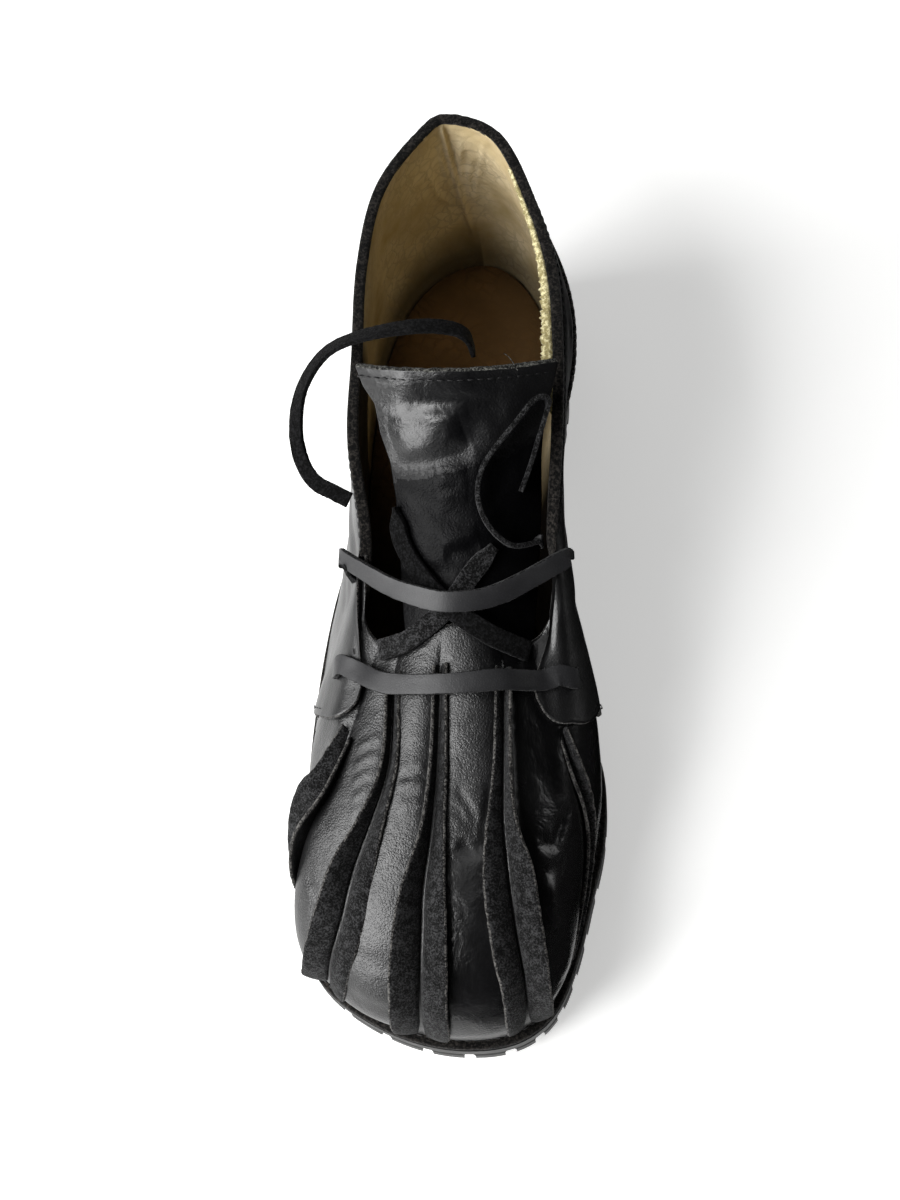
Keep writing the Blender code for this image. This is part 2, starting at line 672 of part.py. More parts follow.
def make_tongue(finish, collection, parent):
    ups = np.linspace(0, 1, ALONG_TONGUE + 1)
    acrosses = np.linspace(-1, 1, ACROSS_TONGUE + 1)
    rings = []
    for up in ups:
        top = tongue_points(up, acrosses)
        under = tongue_points(up, acrosses, -TONGUE_WALL)
        rings.append(np.concatenate([top, under[::-1]]))
    return add_object("tongue", loft("tongue", rings), finish, collection, parent)


def on_upper(turn, up, lift):
    """A point above the upper and the direction outwards there; lift counts lace thicknesses."""
    normal = upper_normals(turn, up)
    return upper_points(turn, up) + normal * lift * LACE_THICKNESS, normal


def on_tongue(up, across, lift):
    point = tongue_points(up, across, lift * LACE_THICKNESS)
    side = tongue_points(up, across + 0.1) - tongue_points(up, across - 0.1)
    rising = tongue_points(up + 0.02, across) - tongue_points(up - 0.02, across)
    normal = np.cross(side, rising)
    return point, normal / np.linalg.norm(normal)


def strap(stops, steps=25):
    """A flat lace through the given (point, direction of its face) stops."""
    knots = np.linspace(0, 1, len(stops))
    at = np.linspace(0, 1, steps)
    path, face = (
        np.stack([curve(knots, [stop[part][k] for stop in stops], at) for k in range(3)], axis=-1)
        for part in (0, 1)
    )
    rings = []
    for i in range(steps):
        tangent = path[min(i + 1, steps - 1)] - path[max(i - 1, 0)]
        tangent /= np.linalg.norm(tangent)
        normal = face[i] - tangent * (face[i] @ tangent)
        normal /= np.linalg.norm(normal)
        w, t = np.cross(tangent, normal) * LACE_WIDTH / 2, normal * LACE_THICKNESS / 2
        rings.append(np.array([path[i] - w - t, path[i] + w - t, path[i] + w + t, path[i] - w + t]))
    return loft("strap", rings)


def make_bars(finish, collection, parent):
    """The two straps that lie across the opening from hole to hole."""
    (l1, l2, _), (m1, m2, _) = HOLES["lateral"], HOLES["medial"]
    lower = [
        on_upper(*l1, 2.0), on_upper(0.356, 0.82, 2.1), on_upper(0.386, 0.90, 2.7),
        on_upper(0.430, 0.900, 3.2), on_upper(0.490, 0.890, 3.3), on_upper(0.550, 0.900, 3.2),
        on_upper(0.598, 0.900, 2.7), on_upper(0.636, 0.82, 2.3), on_upper(*m1, 2.1),
    ]
    upper = [
        on_upper(*l2, 2.5), on_upper(0.304, 0.95, 4.1), on_tongue(0.295, -0.94, 7.0),
        on_tongue(0.255, -0.55, 5.0), on_tongue(0.235, -0.12, 5.0), on_tongue(0.255, 0.50, 5.0),
        on_upper(0.684, 0.985, 2.5), on_upper(0.695, 0.90, 2.2), on_upper(*m2, 2.1),
    ]
    for name, stops in (("lace_bar_lower", lower), ("lace_bar_upper", upper)):
        add_object(name, strap(stops), finish, collection, parent)


def make_cross(finish, collection, parent):
    """The two straps that cross on the tongue, under the bars."""
    rising = [
        on_upper(0.404, 0.985, 1.4), on_upper(0.440, 0.995, 1.5), on_tongue(0.215, -0.15, 2.5),
        on_tongue(0.32, 0.16, 1.2), on_tongue(0.40, 0.44, 1.1),
    ]
    falling = [
        on_upper(0.590, 0.975, 1.4), on_upper(0.548, 0.99, 1.6), on_tongue(0.205, -0.08, 3.1),
        on_tongue(0.30, -0.45, 1.5), on_tongue(0.41, -0.70, 1.1), on_tongue(0.52, -0.74, 1.1),
    ]
    made = add_object("lace_cross", strap(rising, 17), finish, collection, parent)
    cut(made, "UNION", [bpy.data.objects.new("other", strap(falling, 17))])
    return made


def make_end(name, points, finish, collection, parent):
    """A free end of the lace, as a round cord."""
    knots = np.linspace(0, 1, len(points))
    at = np.linspace(0, 1, 3 * len(points))
    path = np.stack([curve(knots, [p[k] for p in points], at) for k in range(3)], axis=-1)
    line = bpy.data.curves.new(name, "CURVE")
    line.dimensions = "3D"
    line.bevel_depth = CORD_RADIUS
    line.bevel_resolution = 2
    line.use_fill_caps = True
    spline = line.splines.new("POLY")
    spline.points.add(len(path) - 1)
    for point, place in zip(spline.points, path):
        point.co = (*place, 1.0)
    return add_object(name, line, finish, collection, parent)


# The lace's outer free end: distances from the heel's back, from the axis and from the floor,
# as shares of the length, of half the collar's width and of the back's height
LATERAL_END = [
    (0.462, -1.115, 0.787), (0.454, -1.27, 0.797), (0.440, -1.48, 0.802), (0.413, -1.62, 0.819),
    (0.380, -1.66, 0.853), (0.347, -1.58, 0.905), (0.321, -1.34, 0.966), (0.314, -0.99, 1.017),
    (0.312, -0.46, 1.052), (0.309, -0.11, 1.034), (0.311, 0.08, 1.000), (0.314, 0.13, 0.931),
]
# Its inner free end: places on the tongue as (up, across, lift in lace thicknesses)
MEDIAL_END = [
    (0.365, 0.86, 2.6), (0.400, 0.66, 2.4), (0.470, 0.32, 2.4), (0.570, 0.22, 2.2), (0.670, 0.37, 2.2),
    (0.725, 0.66, 2.2), (0.780, 0.88, 2.6), (0.900, 1.02, 3.6), (0.840, 0.90, 3.6), (0.690, 0.92, 2.6),
    (0.560, 0.75, 2.0),
]


def main():
    for old in list(bpy.data.objects):
        bpy.data.objects.remove(old)
    shoe = bpy.data.collections.new("lace_up_shoe")
    bpy.context.scene.collection.children.link(shoe)
    stand = bpy.data.objects.new("stand", None)
    shoe.objects.link(stand)
    rubber = material("black_rubber", (0.035, 0.035, 0.034), 0.75)
    leather = material("black_leather", (0.012, 0.012, 0.013), 0.42)
    suede = material("black_suede", (0.022, 0.022, 0.022), 0.95)
    tan = material("tan_lining", (0.42, 0.30, 0.17), 0.80)
    tables = grid_tables()
    make_outsole(rubber, shoe, stand)
    make_welt(leather, shoe, stand)
    make_insole(tan, shoe, stand)
    make_upper(leather, shoe, stand, *tables)
    make_quarters(leather, shoe, stand, tables)
    make_counter(leather, shoe, stand, tables)
    make_seams(suede, shoe, stand)
    make_tongue(leather, shoe, stand)
    make_bars(leather, shoe, stand)
    make_cross(suede, shoe, stand)
    sizes = (SOLE_LENGTH, COLLAR_WIDTH / 2, BACK_HEIGHT)
    lateral = [to_frame(*(value * size for value, size in zip(row, sizes))) for row in LATERAL_END]
    make_end("lace_end_lateral", lateral, suede, shoe, stand)
    inside = -(UPPER_WALL + GAP + CORD_RADIUS) / LACE_THICKNESS
    medial = [on_upper(0.694, 0.985, inside)[0]] + [on_tongue(*row)[0] for row in MEDIAL_END]
    make_end("lace_end_medial", medial, suede, shoe, stand)


main()
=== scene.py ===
import math

import bmesh
import bpy
import numpy as np
from mathutils import Matrix, Vector, noise


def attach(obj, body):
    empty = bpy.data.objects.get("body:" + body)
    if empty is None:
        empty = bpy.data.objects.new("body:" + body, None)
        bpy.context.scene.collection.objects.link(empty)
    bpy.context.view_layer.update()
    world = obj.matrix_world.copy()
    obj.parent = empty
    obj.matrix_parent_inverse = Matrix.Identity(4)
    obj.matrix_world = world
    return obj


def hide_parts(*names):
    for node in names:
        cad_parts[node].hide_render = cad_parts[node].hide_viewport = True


# A right lace-up shoe: black leather, turned-out seams on the vamp, a lugged rubber sole.
# Metres, +Z up. The toe points to -Y, the big-toe side is +X, and the floor is z = 0.
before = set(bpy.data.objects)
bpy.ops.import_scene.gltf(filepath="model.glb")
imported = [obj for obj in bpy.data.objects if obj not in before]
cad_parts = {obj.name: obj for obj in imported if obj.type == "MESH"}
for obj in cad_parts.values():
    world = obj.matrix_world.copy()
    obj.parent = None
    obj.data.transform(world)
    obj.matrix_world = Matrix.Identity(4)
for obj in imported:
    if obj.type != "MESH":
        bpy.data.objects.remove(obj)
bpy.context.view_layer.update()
print("frame loaded")

# The camera stands above the toe and looks back along the shoe
camera = {
    "place": (0.0563, -0.2603, 0.6020), "aim": (0.0, -0.002, 0.045), "upward": (0.0157, 0.8971, 0.4415),
    "lens": 55.0, "near": 0.01, "far": 20.0,
}


def setCamera():
    data = bpy.data.cameras.new("studioCamera")
    data.lens = camera["lens"]
    data.clip_start, data.clip_end = camera["near"], camera["far"]
    made = bpy.data.objects.new("studioCamera", data)
    place, aim = Vector(camera["place"]), Vector(camera["aim"])
    back = (place - aim).normalized()
    right = Vector(camera["upward"]).cross(back).normalized()
    up = back.cross(right)
    made.matrix_world = Matrix.Translation(place) @ Matrix((right, up, back)).transposed().to_4x4()
    bpy.context.scene.collection.objects.link(made)
    bpy.context.scene.camera = made


setCamera()

# The shoe's own sizes, the same as its solids have
shoe = {
    "length": 0.296, "ballWidth": 0.1025, "axisX": 0.0073, "originAlong": 0.1487,
    "heelThickness": 0.0250, "forefootThickness": 0.0110, "toeSpring": 0.0090, "waistThickness": 0.0085,
    "welt": 0.0028, "weltMargin": 0.0030, "insole": 0.0030, "backHeight": 0.1160, "collarWidth": 0.0640,
    "upperWall": 0.0022, "insoleClearance": 0.0018,
    "gap": 0.0003, "heelRound": 0.19, "heelPower": 2.0, "toeRound": (0.15, 0.13), "toePower": (2.0, 2.4),
}
# Along the sole: share of the length, half widths, how far the seat keeps the heel's height, toe spring
stations = np.array([
    (0.00, 0.315, 0.385, 1.00, 0.00), (0.14, 0.315, 0.390, 1.00, 0.00), (0.22, 0.295, 0.415, 0.98, 0.00),
    (0.31, 0.235, 0.434, 0.86, 0.00), (0.40, 0.211, 0.450, 0.60, 0.00), (0.48, 0.227, 0.502, 0.33, 0.00),
    (0.54, 0.286, 0.530, 0.16, 0.00), (0.61, 0.361, 0.550, 0.04, 0.00), (0.68, 0.424, 0.559, 0.00, 0.00),
    (0.76, 0.425, 0.550, 0.00, 0.00), (0.84, 0.377, 0.524, 0.00, 0.10), (0.92, 0.333, 0.550, 0.00, 0.40),
    (1.00, 0.335, 0.490, 0.00, 1.00),
])
# Round the top edge: turn, along, aside, height, belly, rise, reach, drop
topEdge = np.array([
    (0.00, 0.0205, -0.17, 1.002, 0.060, 0.34, 0.02, 0.34),
    (0.05, 0.041, -0.47, 0.996, 0.060, 0.34, 0.02, 0.34),
    (0.10, 0.108, -0.88, 0.974, 0.060, 0.34, 0.04, 0.34),
    (0.15, 0.203, -1.04, 0.950, 0.035, 0.34, 0.00, 0.34),
    (0.20, 0.311, -1.06, 0.918, -0.010, 0.28, 0.00, 0.34),
    (0.25, 0.409, -1.07, 0.888, -0.070, 0.28, 0.00, 0.34),
    (0.30, 0.497, -0.96, 0.784, -0.070, 0.26, 0.04, 0.30),
    (0.34, 0.551, -0.97, 0.685, 0.020, 0.29, 0.22, 0.20),
    (0.37, 0.583, -0.96, 0.630, 0.090, 0.32, 0.32, 0.13),
    (0.40, 0.603, -0.80, 0.620, 0.120, 0.32, 0.36, 0.14),
    (0.44, 0.605, -0.45, 0.680, 0.110, 0.31, 0.38, 0.16),
    (0.50, 0.598, -0.05, 0.722, 0.050, 0.29, 0.38, 0.18),
    (0.56, 0.603, 0.35, 0.690, 0.045, 0.30, 0.38, 0.16), (0.60, 0.603, 0.68, 0.628, 0.045, 0.31, 0.36, 0.14),
    (0.63, 0.583, 0.84, 0.645, 0.045, 0.31, 0.32, 0.13), (0.66, 0.551, 0.89, 0.698, 0.050, 0.31, 0.28, 0.16),
    (0.70, 0.500, 0.91, 0.784, 0.070, 0.30, 0.20, 0.24), (0.75, 0.416, 0.97, 0.880, 0.095, 0.32, 0.12, 0.30),
    (0.80, 0.321, 0.985, 0.914, 0.090, 0.34, 0.08, 0.32), (0.85, 0.220, 0.93, 0.948, 0.070, 0.34, 0.06, 0.34),
    (0.90, 0.131, 0.71, 0.970, 0.060, 0.34, 0.04, 0.34), (0.95, 0.0475, 0.36, 0.993, 0.060, 0.34, 0.02, 0.34),
])
# Up the tongue: up, along, height, left, right, arch
tongueRows = np.array([
    (0.00, 0.635, 0.645, -0.66, 0.66, 0.06), (0.14, 0.596, 0.684, -0.74, 0.70, 0.09),
    (0.42, 0.518, 0.812, -0.82, 0.78, 0.11), (0.70, 0.440, 0.955, -0.92, 0.82, 0.10),
    (1.00, 0.380, 1.103, -0.98, 0.98, 0.09),
])


def curve(knots, values, at, period=None):
    # a smooth curve through the values at the knots
    knots, values, at = np.asarray(knots, float), np.asarray(values, float), np.asarray(at, float)
    if period:
        at = at % period
        knots = np.concatenate([knots[-2:] - period, knots, knots[:2] + period])
        values = np.concatenate([values[-2:], values, values[:2]])
    slopes = np.gradient(values, knots)
    i = np.clip(np.searchsorted(knots, at, side="right") - 1, 0, len(knots) - 2)
    step = knots[i + 1] - knots[i]
    t = (at - knots[i]) / step
    return (values[i] * (1 + 2 * t) * (1 - t) ** 2 + slopes[i] * step * t * (1 - t) ** 2
            + values[i + 1] * t * t * (3 - 2 * t) + slopes[i + 1] * step * t * t * (t - 1))


def fadeIn(value, start, width):
    # 0 up to the start, 1 from the width past it
    return np.clip((value - start) / width, 0, 1)


def fadeOut(value, end, width):
    # 1 until the width before the end, 0 past the end
    return np.clip((end - value) / width, 0, 1)


def toFrame(along, aside, height):
    # from the heel's back, from the long axis and from the floor, to a point
    return np.stack(np.broadcast_arrays(aside + shoe["axisX"], shoe["originAlong"] - along, height), axis=-1)


def outline(turn):
    # the sole's outline: turn 0 is the heel's back, 0.25 the outer side, 0.5 the toe
    turn = np.asarray(turn, float) % 1.0
    share = 0.5 - 0.5 * np.cos(2 * math.pi * turn)
    heel = np.clip(1 - share / shoe["heelRound"], 0, 1)
    half = (1 - heel ** shoe["heelPower"]) ** (1 / shoe["heelPower"])
    sides = []
    for k, part in ((2, 0), (1, 1)):
        toe = np.clip((share - 1 + shoe["toeRound"][part]) / shoe["toeRound"][part], 0, 1)
        rounding = (1 - toe ** shoe["toePower"][part]) ** (1 / shoe["toePower"][part])
        sides.append(curve(stations[:, 0], stations[:, k], share) * shoe["ballWidth"] * half * rounding)
    return share * shoe["length"], np.where(turn < 0.5, -sides[0], sides[1])


def insetOutline(turn, inset):
    along, aside = outline(turn)
    before, after = outline(turn - 1e-3), outline(turn + 1e-3)
    da, dx = after[0] - before[0], after[1] - before[1]
    size = np.hypot(da, dx)
    return along - inset * dx / size, aside + inset * da / size


def outward(turn):
    here, inside = outline(turn), insetOutline(turn, 0.001)
    return (here[0] - inside[0]) / 0.001, (here[1] - inside[1]) / 0.001


def treadHeight(along):
    return shoe["toeSpring"] * np.maximum(curve(stations[:, 0], stations[:, 4], along / shoe["length"]), 0)


def seatHeight(along):
    pitch = curve(stations[:, 0], stations[:, 3], along / shoe["length"])
    raised = (shoe["heelThickness"] - shoe["forefootThickness"]) * pitch
    return shoe["forefootThickness"] + raised + treadHeight(along)


def weltTop(along):
    return seatHeight(along) + shoe["gap"] + shoe["welt"]


def upperPoints(turn, up):
    # the upper's outer face: turn runs round the shoe, up from the sole to the top edge
    turn, up = np.broadcast_arrays(np.asarray(turn, float), np.asarray(up, float))
    along, aside = insetOutline(turn, shoe["weltMargin"])
    foot = toFrame(along, aside, weltTop(along) + shoe["gap"])
    edge = [curve(topEdge[:, 0], topEdge[:, k], turn, 1.0) for k in range(1, 8)]
    head = toFrame(edge[0] * shoe["length"], edge[1] * shoe["collarWidth"] / 2, edge[2] * shoe["backHeight"])
    outAlong, outAside = outward(turn)
    out = np.stack([outAside, -outAlong, np.zeros_like(outAlong)], axis=-1)
    flat = (foot - head) * np.array([1.0, 1.0, 0.0])
    distance = np.linalg.norm(flat, axis=-1, keepdims=True)
    share = np.clip(distance / (0.5 * shoe["collarWidth"]), 0, 1)
    lean = out * (1 - share) + flat / np.maximum(distance, 1e-6) * share
    chord = np.linalg.norm(foot - head, axis=-1, keepdims=True)
    rising = np.array([0.0, 0.0, 1.0])
    low = foot + out * (edge[3] * shoe["ballWidth"])[..., None] + rising * edge[4][..., None] * chord
    high = head + lean * edge[5][..., None] * chord - rising * edge[6][..., None] * chord
    t = up[..., None]
    return foot * (1 - t) ** 3 + 3 * low * t * (1 - t) ** 2 + 3 * high * t ** 2 * (1 - t) + head * t ** 3


sag = {"turn": 0.318, "around": 0.034, "up": 0.40, "upward": 0.26, "depth": 0.0042}


def sideBulge(turn, up):
    # the outer side's leather sags over the sole behind the ball of the foot
    place = -((turn - sag["turn"]) / sag["around"]) ** 2 - ((up - sag["up"]) / sag["upward"]) ** 2
    return sag["depth"] * np.exp(place)


def unit(v):
    return v / np.maximum(np.linalg.norm(v, axis=-1, keepdims=True), 1e-12)


def upperNormals(turn, up):
    turn, up = np.broadcast_arrays(np.asarray(turn, float), np.asarray(up, float))
    low, high = np.clip(up - 0.02, 0, 1), np.clip(up + 0.02, 0, 1)
    rising = upperPoints(turn, high) - upperPoints(turn, low)
    around = upperPoints(turn + 0.004, up) - upperPoints(turn - 0.004, up)
    normal = np.cross(around, rising)
    normal[..., 2] *= np.clip(up / 0.15, 0, 1)
    return unit(normal)


def tonguePoints(up, across, lift=0.0):
    # the tongue's outer face: up from the throat to its top, across from -1 to 1
    up, across = np.broadcast_arrays(np.asarray(up, float), np.asarray(across, float))
    along, height, left, right, arch = (curve(tongueRows[:, 0], tongueRows[:, k], up) for k in range(1, 6))
    rise = curve(tongueRows[:, 0], np.gradient(tongueRows[:, 2], tongueRows[:, 0]) * shoe["backHeight"], up)
    back = curve(tongueRows[:, 0], -np.gradient(tongueRows[:, 1], tongueRows[:, 0]) * shoe["length"], up)
    size = np.hypot(rise, back)
    aside = shoe["collarWidth"] / 2 * np.where(across < 0, -across * left, across * right)
    depth = lift - arch * shoe["backHeight"] * across ** 2
    return toFrame(along * shoe["length"] + depth * rise / size, aside,
                   height * shoe["backHeight"] + depth * back / size)


def tongueNormals(up, across):
    side = tonguePoints(up, across + 0.1) - tonguePoints(up, across - 0.1)
    rising = tonguePoints(up + 0.02, across) - tonguePoints(up - 0.02, across)
    return unit(np.cross(side, rising))


# Materials

def hexColour(code):
    # sRGB hex to the linear values that a shader takes
    values = [int(code[i:i + 2], 16) / 255 for i in (1, 3, 5)]
    return (*[v / 12.92 if v <= 0.04045 else ((v + 0.055) / 1.055) ** 2.4 for v in values], 1.0)


def addNode(tree, kind, inputs=(), **settings):
    node = tree.nodes.new(kind)
    for key, value in settings.items():
        setattr(node, key, value)
    for key, value in dict(inputs).items():
        if isinstance(value, bpy.types.NodeSocket):
            tree.links.new(value, node.inputs[key])
        else:
            node.inputs[key].default_value = value
    return node


def newMaterial(name, **values):
    made = bpy.data.materials.new(name)
    made.use_nodes = True
    tree = made.node_tree
    shader = tree.nodes["Principled BSDF"]
    for key, value in values.items():
        shader.inputs[key.replace("_", " ")].default_value = value
    place = addNode(tree, "ShaderNodeTexCoord").outputs["Object"]
    return made, tree, shader, place


def noiseAt(tree, place, size, detail, **more):
    # soft noise, its lumps about that size
    values = {"Vector": place, "Scale": 1 / size, "Detail": detail, **more}
    return addNode(tree, "ShaderNodeTexNoise", values).outputs


def remap(tree, value, low, high, first=0.0, last=1.0, kind="LINEAR"):
    values = {"Value": value, 1: low, 2: high, 3: first, 4: last}
    return addNode(tree, "ShaderNodeMapRange", values, interpolation_type=kind).outputs[0]


def cellsAt(tree, place, size, reach):
    # 0 on the borders between cells of that size, 1 inside them
    cells = addNode(
        tree, "ShaderNodeTexVoronoi", {"Vector": place, "Scale": 1 / size}, feature="DISTANCE_TO_EDGE")
    return remap(tree, cells.outputs["Distance"], 0.0, reach, kind="SMOOTHSTEP")


def mathOf(tree, operation, *values):
    return addNode(tree, "ShaderNodeMath", dict(enumerate(values)), operation=operation).outputs[0]


def mixed(tree, share, first, second, kind="MIX"):
    values = {0: share, 6: first, 7: second}
    return addNode(tree, "ShaderNodeMix", values, data_type="RGBA", blend_type=kind).outputs[2]


def blend(tree, share, look, pale="light"):
    return mixed(tree, share, hexColour(look["dark"]), hexColour(look[pale]))


def attributeOf(tree, name):
    return addNode(tree, "ShaderNodeAttribute", attribute_name=name).outputs["Fac"]


def joinUp(tree, shader, colour, height, distance, strength=1.0):
    # the colour, and the height as a bump of that distance
    tree.links.new(colour, shader.inputs["Base Color"])
    bump = addNode(tree, "ShaderNodeBump", {"Height": height, "Distance": distance, "Strength": strength})
    tree.links.new(bump.outputs[0], shader.inputs["Normal"])


def makeLeather(name, look):
    # Aniline-dyed calf: a fine pebble that fades where the skin is stretched, over soft folds.
    # It gives black that turns grey wherever a pale surface is mirrored at a low angle.
    made, tree, shader, place = newMaterial(name, IOR=1.5, Specular_IOR_Level=look["specular"])
    bent = noiseAt(tree, place, look["bend"], 2.0)["Color"]
    shift = (look["pebble"] * 0.9,) * 3
    shifted = addNode(tree, "ShaderNodeVectorMath", {0: bent, 1: shift}, operation="MULTIPLY")
    moved = addNode(tree, "ShaderNodeVectorMath", {0: place, 1: shifted.outputs[0]}, operation="ADD")
    grain = cellsAt(tree, moved.outputs[0], look["pebble"], 0.35)
    polish = attributeOf(tree, "polish")
    rough = remap(tree, polish, 0.0, 1.0, look["grain"], look["grain"] * 0.12)
    raised = mathOf(tree, "MULTIPLY", grain, rough)
    folds = noiseAt(tree, place, look["fold"], 5.0, Roughness=0.55, Distortion=0.4)["Fac"]
    height = mathOf(tree, "MULTIPLY_ADD", folds, look["foldDepth"], raised)
    patches = noiseAt(tree, place, look["patch"], 4.0)["Fac"]
    pores = remap(tree, raised, 0.0, look["grain"], 0.75, 1.0)
    joinUp(tree, shader, mixed(tree, 1.0, blend(tree, patches, look), pores, "MULTIPLY"), height, 0.001)
    gloss = remap(tree, patches, 0.3, 0.7, look["gloss"], look["matt"])
    rubbed = remap(tree, polish, 0.0, 1.0, 1.0, 0.62)
    tree.links.new(mathOf(tree, "MULTIPLY", gloss, rubbed), shader.inputs["Roughness"])
    return made


def makeSuede(name, look):
    # The flesh side of the same hide, raw: a short clumped nap with no gloss.
    # It shows as bright and dark specks.
    made, tree, shader, place = newMaterial(name, IOR=1.4, Roughness=0.95, Specular_IOR_Level=0.15,
                                            Sheen_Weight=look["sheen"], Sheen_Roughness=0.5)
    nap = noiseAt(tree, place, look["nap"], 3.0, Roughness=0.7)["Fac"]
    clumps = noiseAt(tree, place, look["clump"], 3.0)["Fac"]
    height = mathOf(tree, "MULTIPLY_ADD", clumps, 0.4, nap)
    level = remap(tree, height, 0.62, 0.86, kind="SMOOTHSTEP")
    joinUp(tree, shader, blend(tree, level, look), height, look["depth"])
    return made


def makeLining(name, look):
    # Undyed calf split: pale tan and dry, cracked where it has been bent, and mixed towards a near-black
    # colour by an attribute, which is painted shade inside the shoe.
    made, tree, shader, place = newMaterial(name, IOR=1.45, Specular_IOR_Level=0.2, Roughness=0.8)
    blotch = noiseAt(tree, place, look["blotch"], 5.0, Roughness=0.6)["Fac"]
    colour = blend(tree, remap(tree, blotch, 0.3, 0.7), look)
    bent = noiseAt(tree, place, look["crack"], 3.0)["Color"]
    shifted = addNode(tree, "ShaderNodeVectorMath", {
        0: bent, 1: (look["crack"],) * 3, 2: place}, operation="MULTIPLY_ADD")
    crack = cellsAt(tree, shifted.outputs[0], look["crack"], 0.12)
    lines = mathOf(tree, "MAXIMUM", crack, remap(tree, blotch, 0.42, 0.6, 1.0, 0.35))
    cracked = mixed(tree, 1.0, colour, remap(tree, lines, 0.0, 1.0, 0.74, 1.0), "MULTIPLY")
    # painted shade: the colour goes to the near-black colour wherever the mesh's attribute says
    shadedColour = mixed(tree, attributeOf(tree, "soil"), cracked, hexColour(look["soil"]))
    pores = noiseAt(tree, place, look["pore"], 3.0)["Fac"]
    joinUp(tree, shader, shadedColour, mathOf(tree, "MULTIPLY_ADD", pores, 0.5, lines), 0.00025, 0.8)
    return made


def makeRubber(name, look):
    # Moulded carbon-black rubber: matt, with pale dust that wear has rubbed into it in smears.
    made, tree, shader, place = newMaterial(name, IOR=1.52, Specular_IOR_Level=0.35)
    smears = noiseAt(tree, place, look["smear"], 9.0, Roughness=0.72, Distortion=0.1)["Fac"]
    patch = remap(tree, smears, 0.38, 0.70, look["least"], look["most"])
    grit = noiseAt(tree, place, look["grit"], 4.0)["Fac"]
    joinUp(tree, shader, blend(tree, patch, look, "dusty"), grit, 0.00015, 0.7)
    tree.links.new(remap(tree, patch, 0.0, 1.0, 0.50, 0.90), shader.inputs["Roughness"])
    return made



vampLeather = makeLeather("pebbledCalf", {
    "dark": "#0b0b0c", "light": "#171718", "specular": 0.65, "gloss": 0.33, "matt": 0.46,
    "pebble": 0.0009, "grain": 0.055, "bend": 0.004, "fold": 0.006, "foldDepth": 0.42, "patch": 0.02,
})
quarterLeather = makeLeather("smoothCalf", {
    "dark": "#0e0e0f", "light": "#19191a", "specular": 0.65, "gloss": 0.34, "matt": 0.46,
    "pebble": 0.0008, "grain": 0.030, "bend": 0.006, "fold": 0.012, "foldDepth": 0.25, "patch": 0.02,
})
tongueLeather = makeLeather("softGlazedCalf", {
    "dark": "#070708", "light": "#101012", "specular": 0.5, "gloss": 0.40, "matt": 0.52,
    "pebble": 0.0011, "grain": 0.05, "bend": 0.005, "fold": 0.007, "foldDepth": 0.50, "patch": 0.015,
})
shadedTongueLeathers = [  # the same calf, darker and less glossy in steps: painted shade and a dimmed reflection for the tongue under the laces
    makeLeather("shadedGlazedCalf%d" % round(specular * 100), {
        "dark": "#050506", "light": "#0d0d0f", "specular": specular, "gloss": 0.40, "matt": 0.56,
        "pebble": 0.0011, "grain": 0.05, "bend": 0.005, "fold": 0.007, "foldDepth": 0.58, "patch": 0.010,
    })
    for specular in (0.36, 0.22, 0.09)
]
laceLeather = makeLeather("laceCalf", {
    "dark": "#1d1d1f", "light": "#2e2e30", "specular": 0.5, "gloss": 0.42, "matt": 0.55,
    "pebble": 0.0008, "grain": 0.02, "bend": 0.004, "fold": 0.006, "foldDepth": 0.12, "patch": 0.012,
})
suede = makeSuede("fleshSideSuede", {
    "dark": "#040404", "light": "#3d3d3e", "sheen": 0.08, "nap": 0.0006, "clump": 0.0028, "depth": 0.0006,
})
laceSuede = makeSuede("dyedLaceSuede", {
    "dark": "#020202", "light": "#1b1b1c", "sheen": 0.04, "nap": 0.0007, "clump": 0.0020, "depth": 0.0004,
})
paleEdge = makeSuede("paleCutEdge", {
    "dark": "#161616", "light": "#6f6f6a", "sheen": 0.05, "nap": 0.0006, "clump": 0.0015, "depth": 0.0004,
})
rawEdge = makeSuede("cutLeatherEdge", {
    "dark": "#131212", "light": "#6a6865", "sheen": 0.15, "nap": 0.0006, "clump": 0.002, "depth": 0.0005,
})
# In these two linings the last colour is painted shade, mixed in deep inside the shoe
lining = makeLining("tanSplitLining", {
    "dark": "#b9a477", "light": "#e8d7b2", "soil": "#150f08", "blotch": 0.022, "crack": 0.0045,
    "pore": 0.0008,
})
sockLeather = makeLining("wornSockLeather", {
    "dark": "#574329", "light": "#73593a", "soil": "#0d0b08", "blotch": 0.03, "crack": 0.006, "pore": 0.0008,
})
creamEdge = makeSuede("creamSplitEdge", {
    "dark": "#9b8f62", "light": "#f2e8b8", "sheen": 0.2, "nap": 0.0011, "clump": 0.003, "depth": 0.0006,
})
rimSuede = makeSuede("blackRimNap", {
    "dark": "#050505", "light": "#302d2a", "sheen": 0.1, "nap": 0.0008, "clump": 0.002, "depth": 0.0004,
})
rubber = makeRubber("mouldedRubber", {
    "dark": "#131313", "dusty": "#50504d", "smear": 0.02, "grit": 0.0009, "least": 0.0, "most": 0.35,
})
treadRubber = makeRubber("wornTreadRubber", {
    "dark": "#2a2a2a", "dusty": "#6f6f6b", "smear": 0.016, "grit": 0.0012, "least": 0.10, "most": 0.7,
})
dustyRubber = makeRubber("dustyWaistRubber", {
    "dark": "#1c1c1c", "dusty": "#96968f", "smear": 0.022, "grit": 0.0010, "least": 0.15, "most": 0.95,
})
# Waxed black linen: small dull highlights
thread = newMaterial("waxedThread", Base_Color=hexColour("#0e0e0f"), Roughness=0.50)[0]
print("materials made")


# Meshes

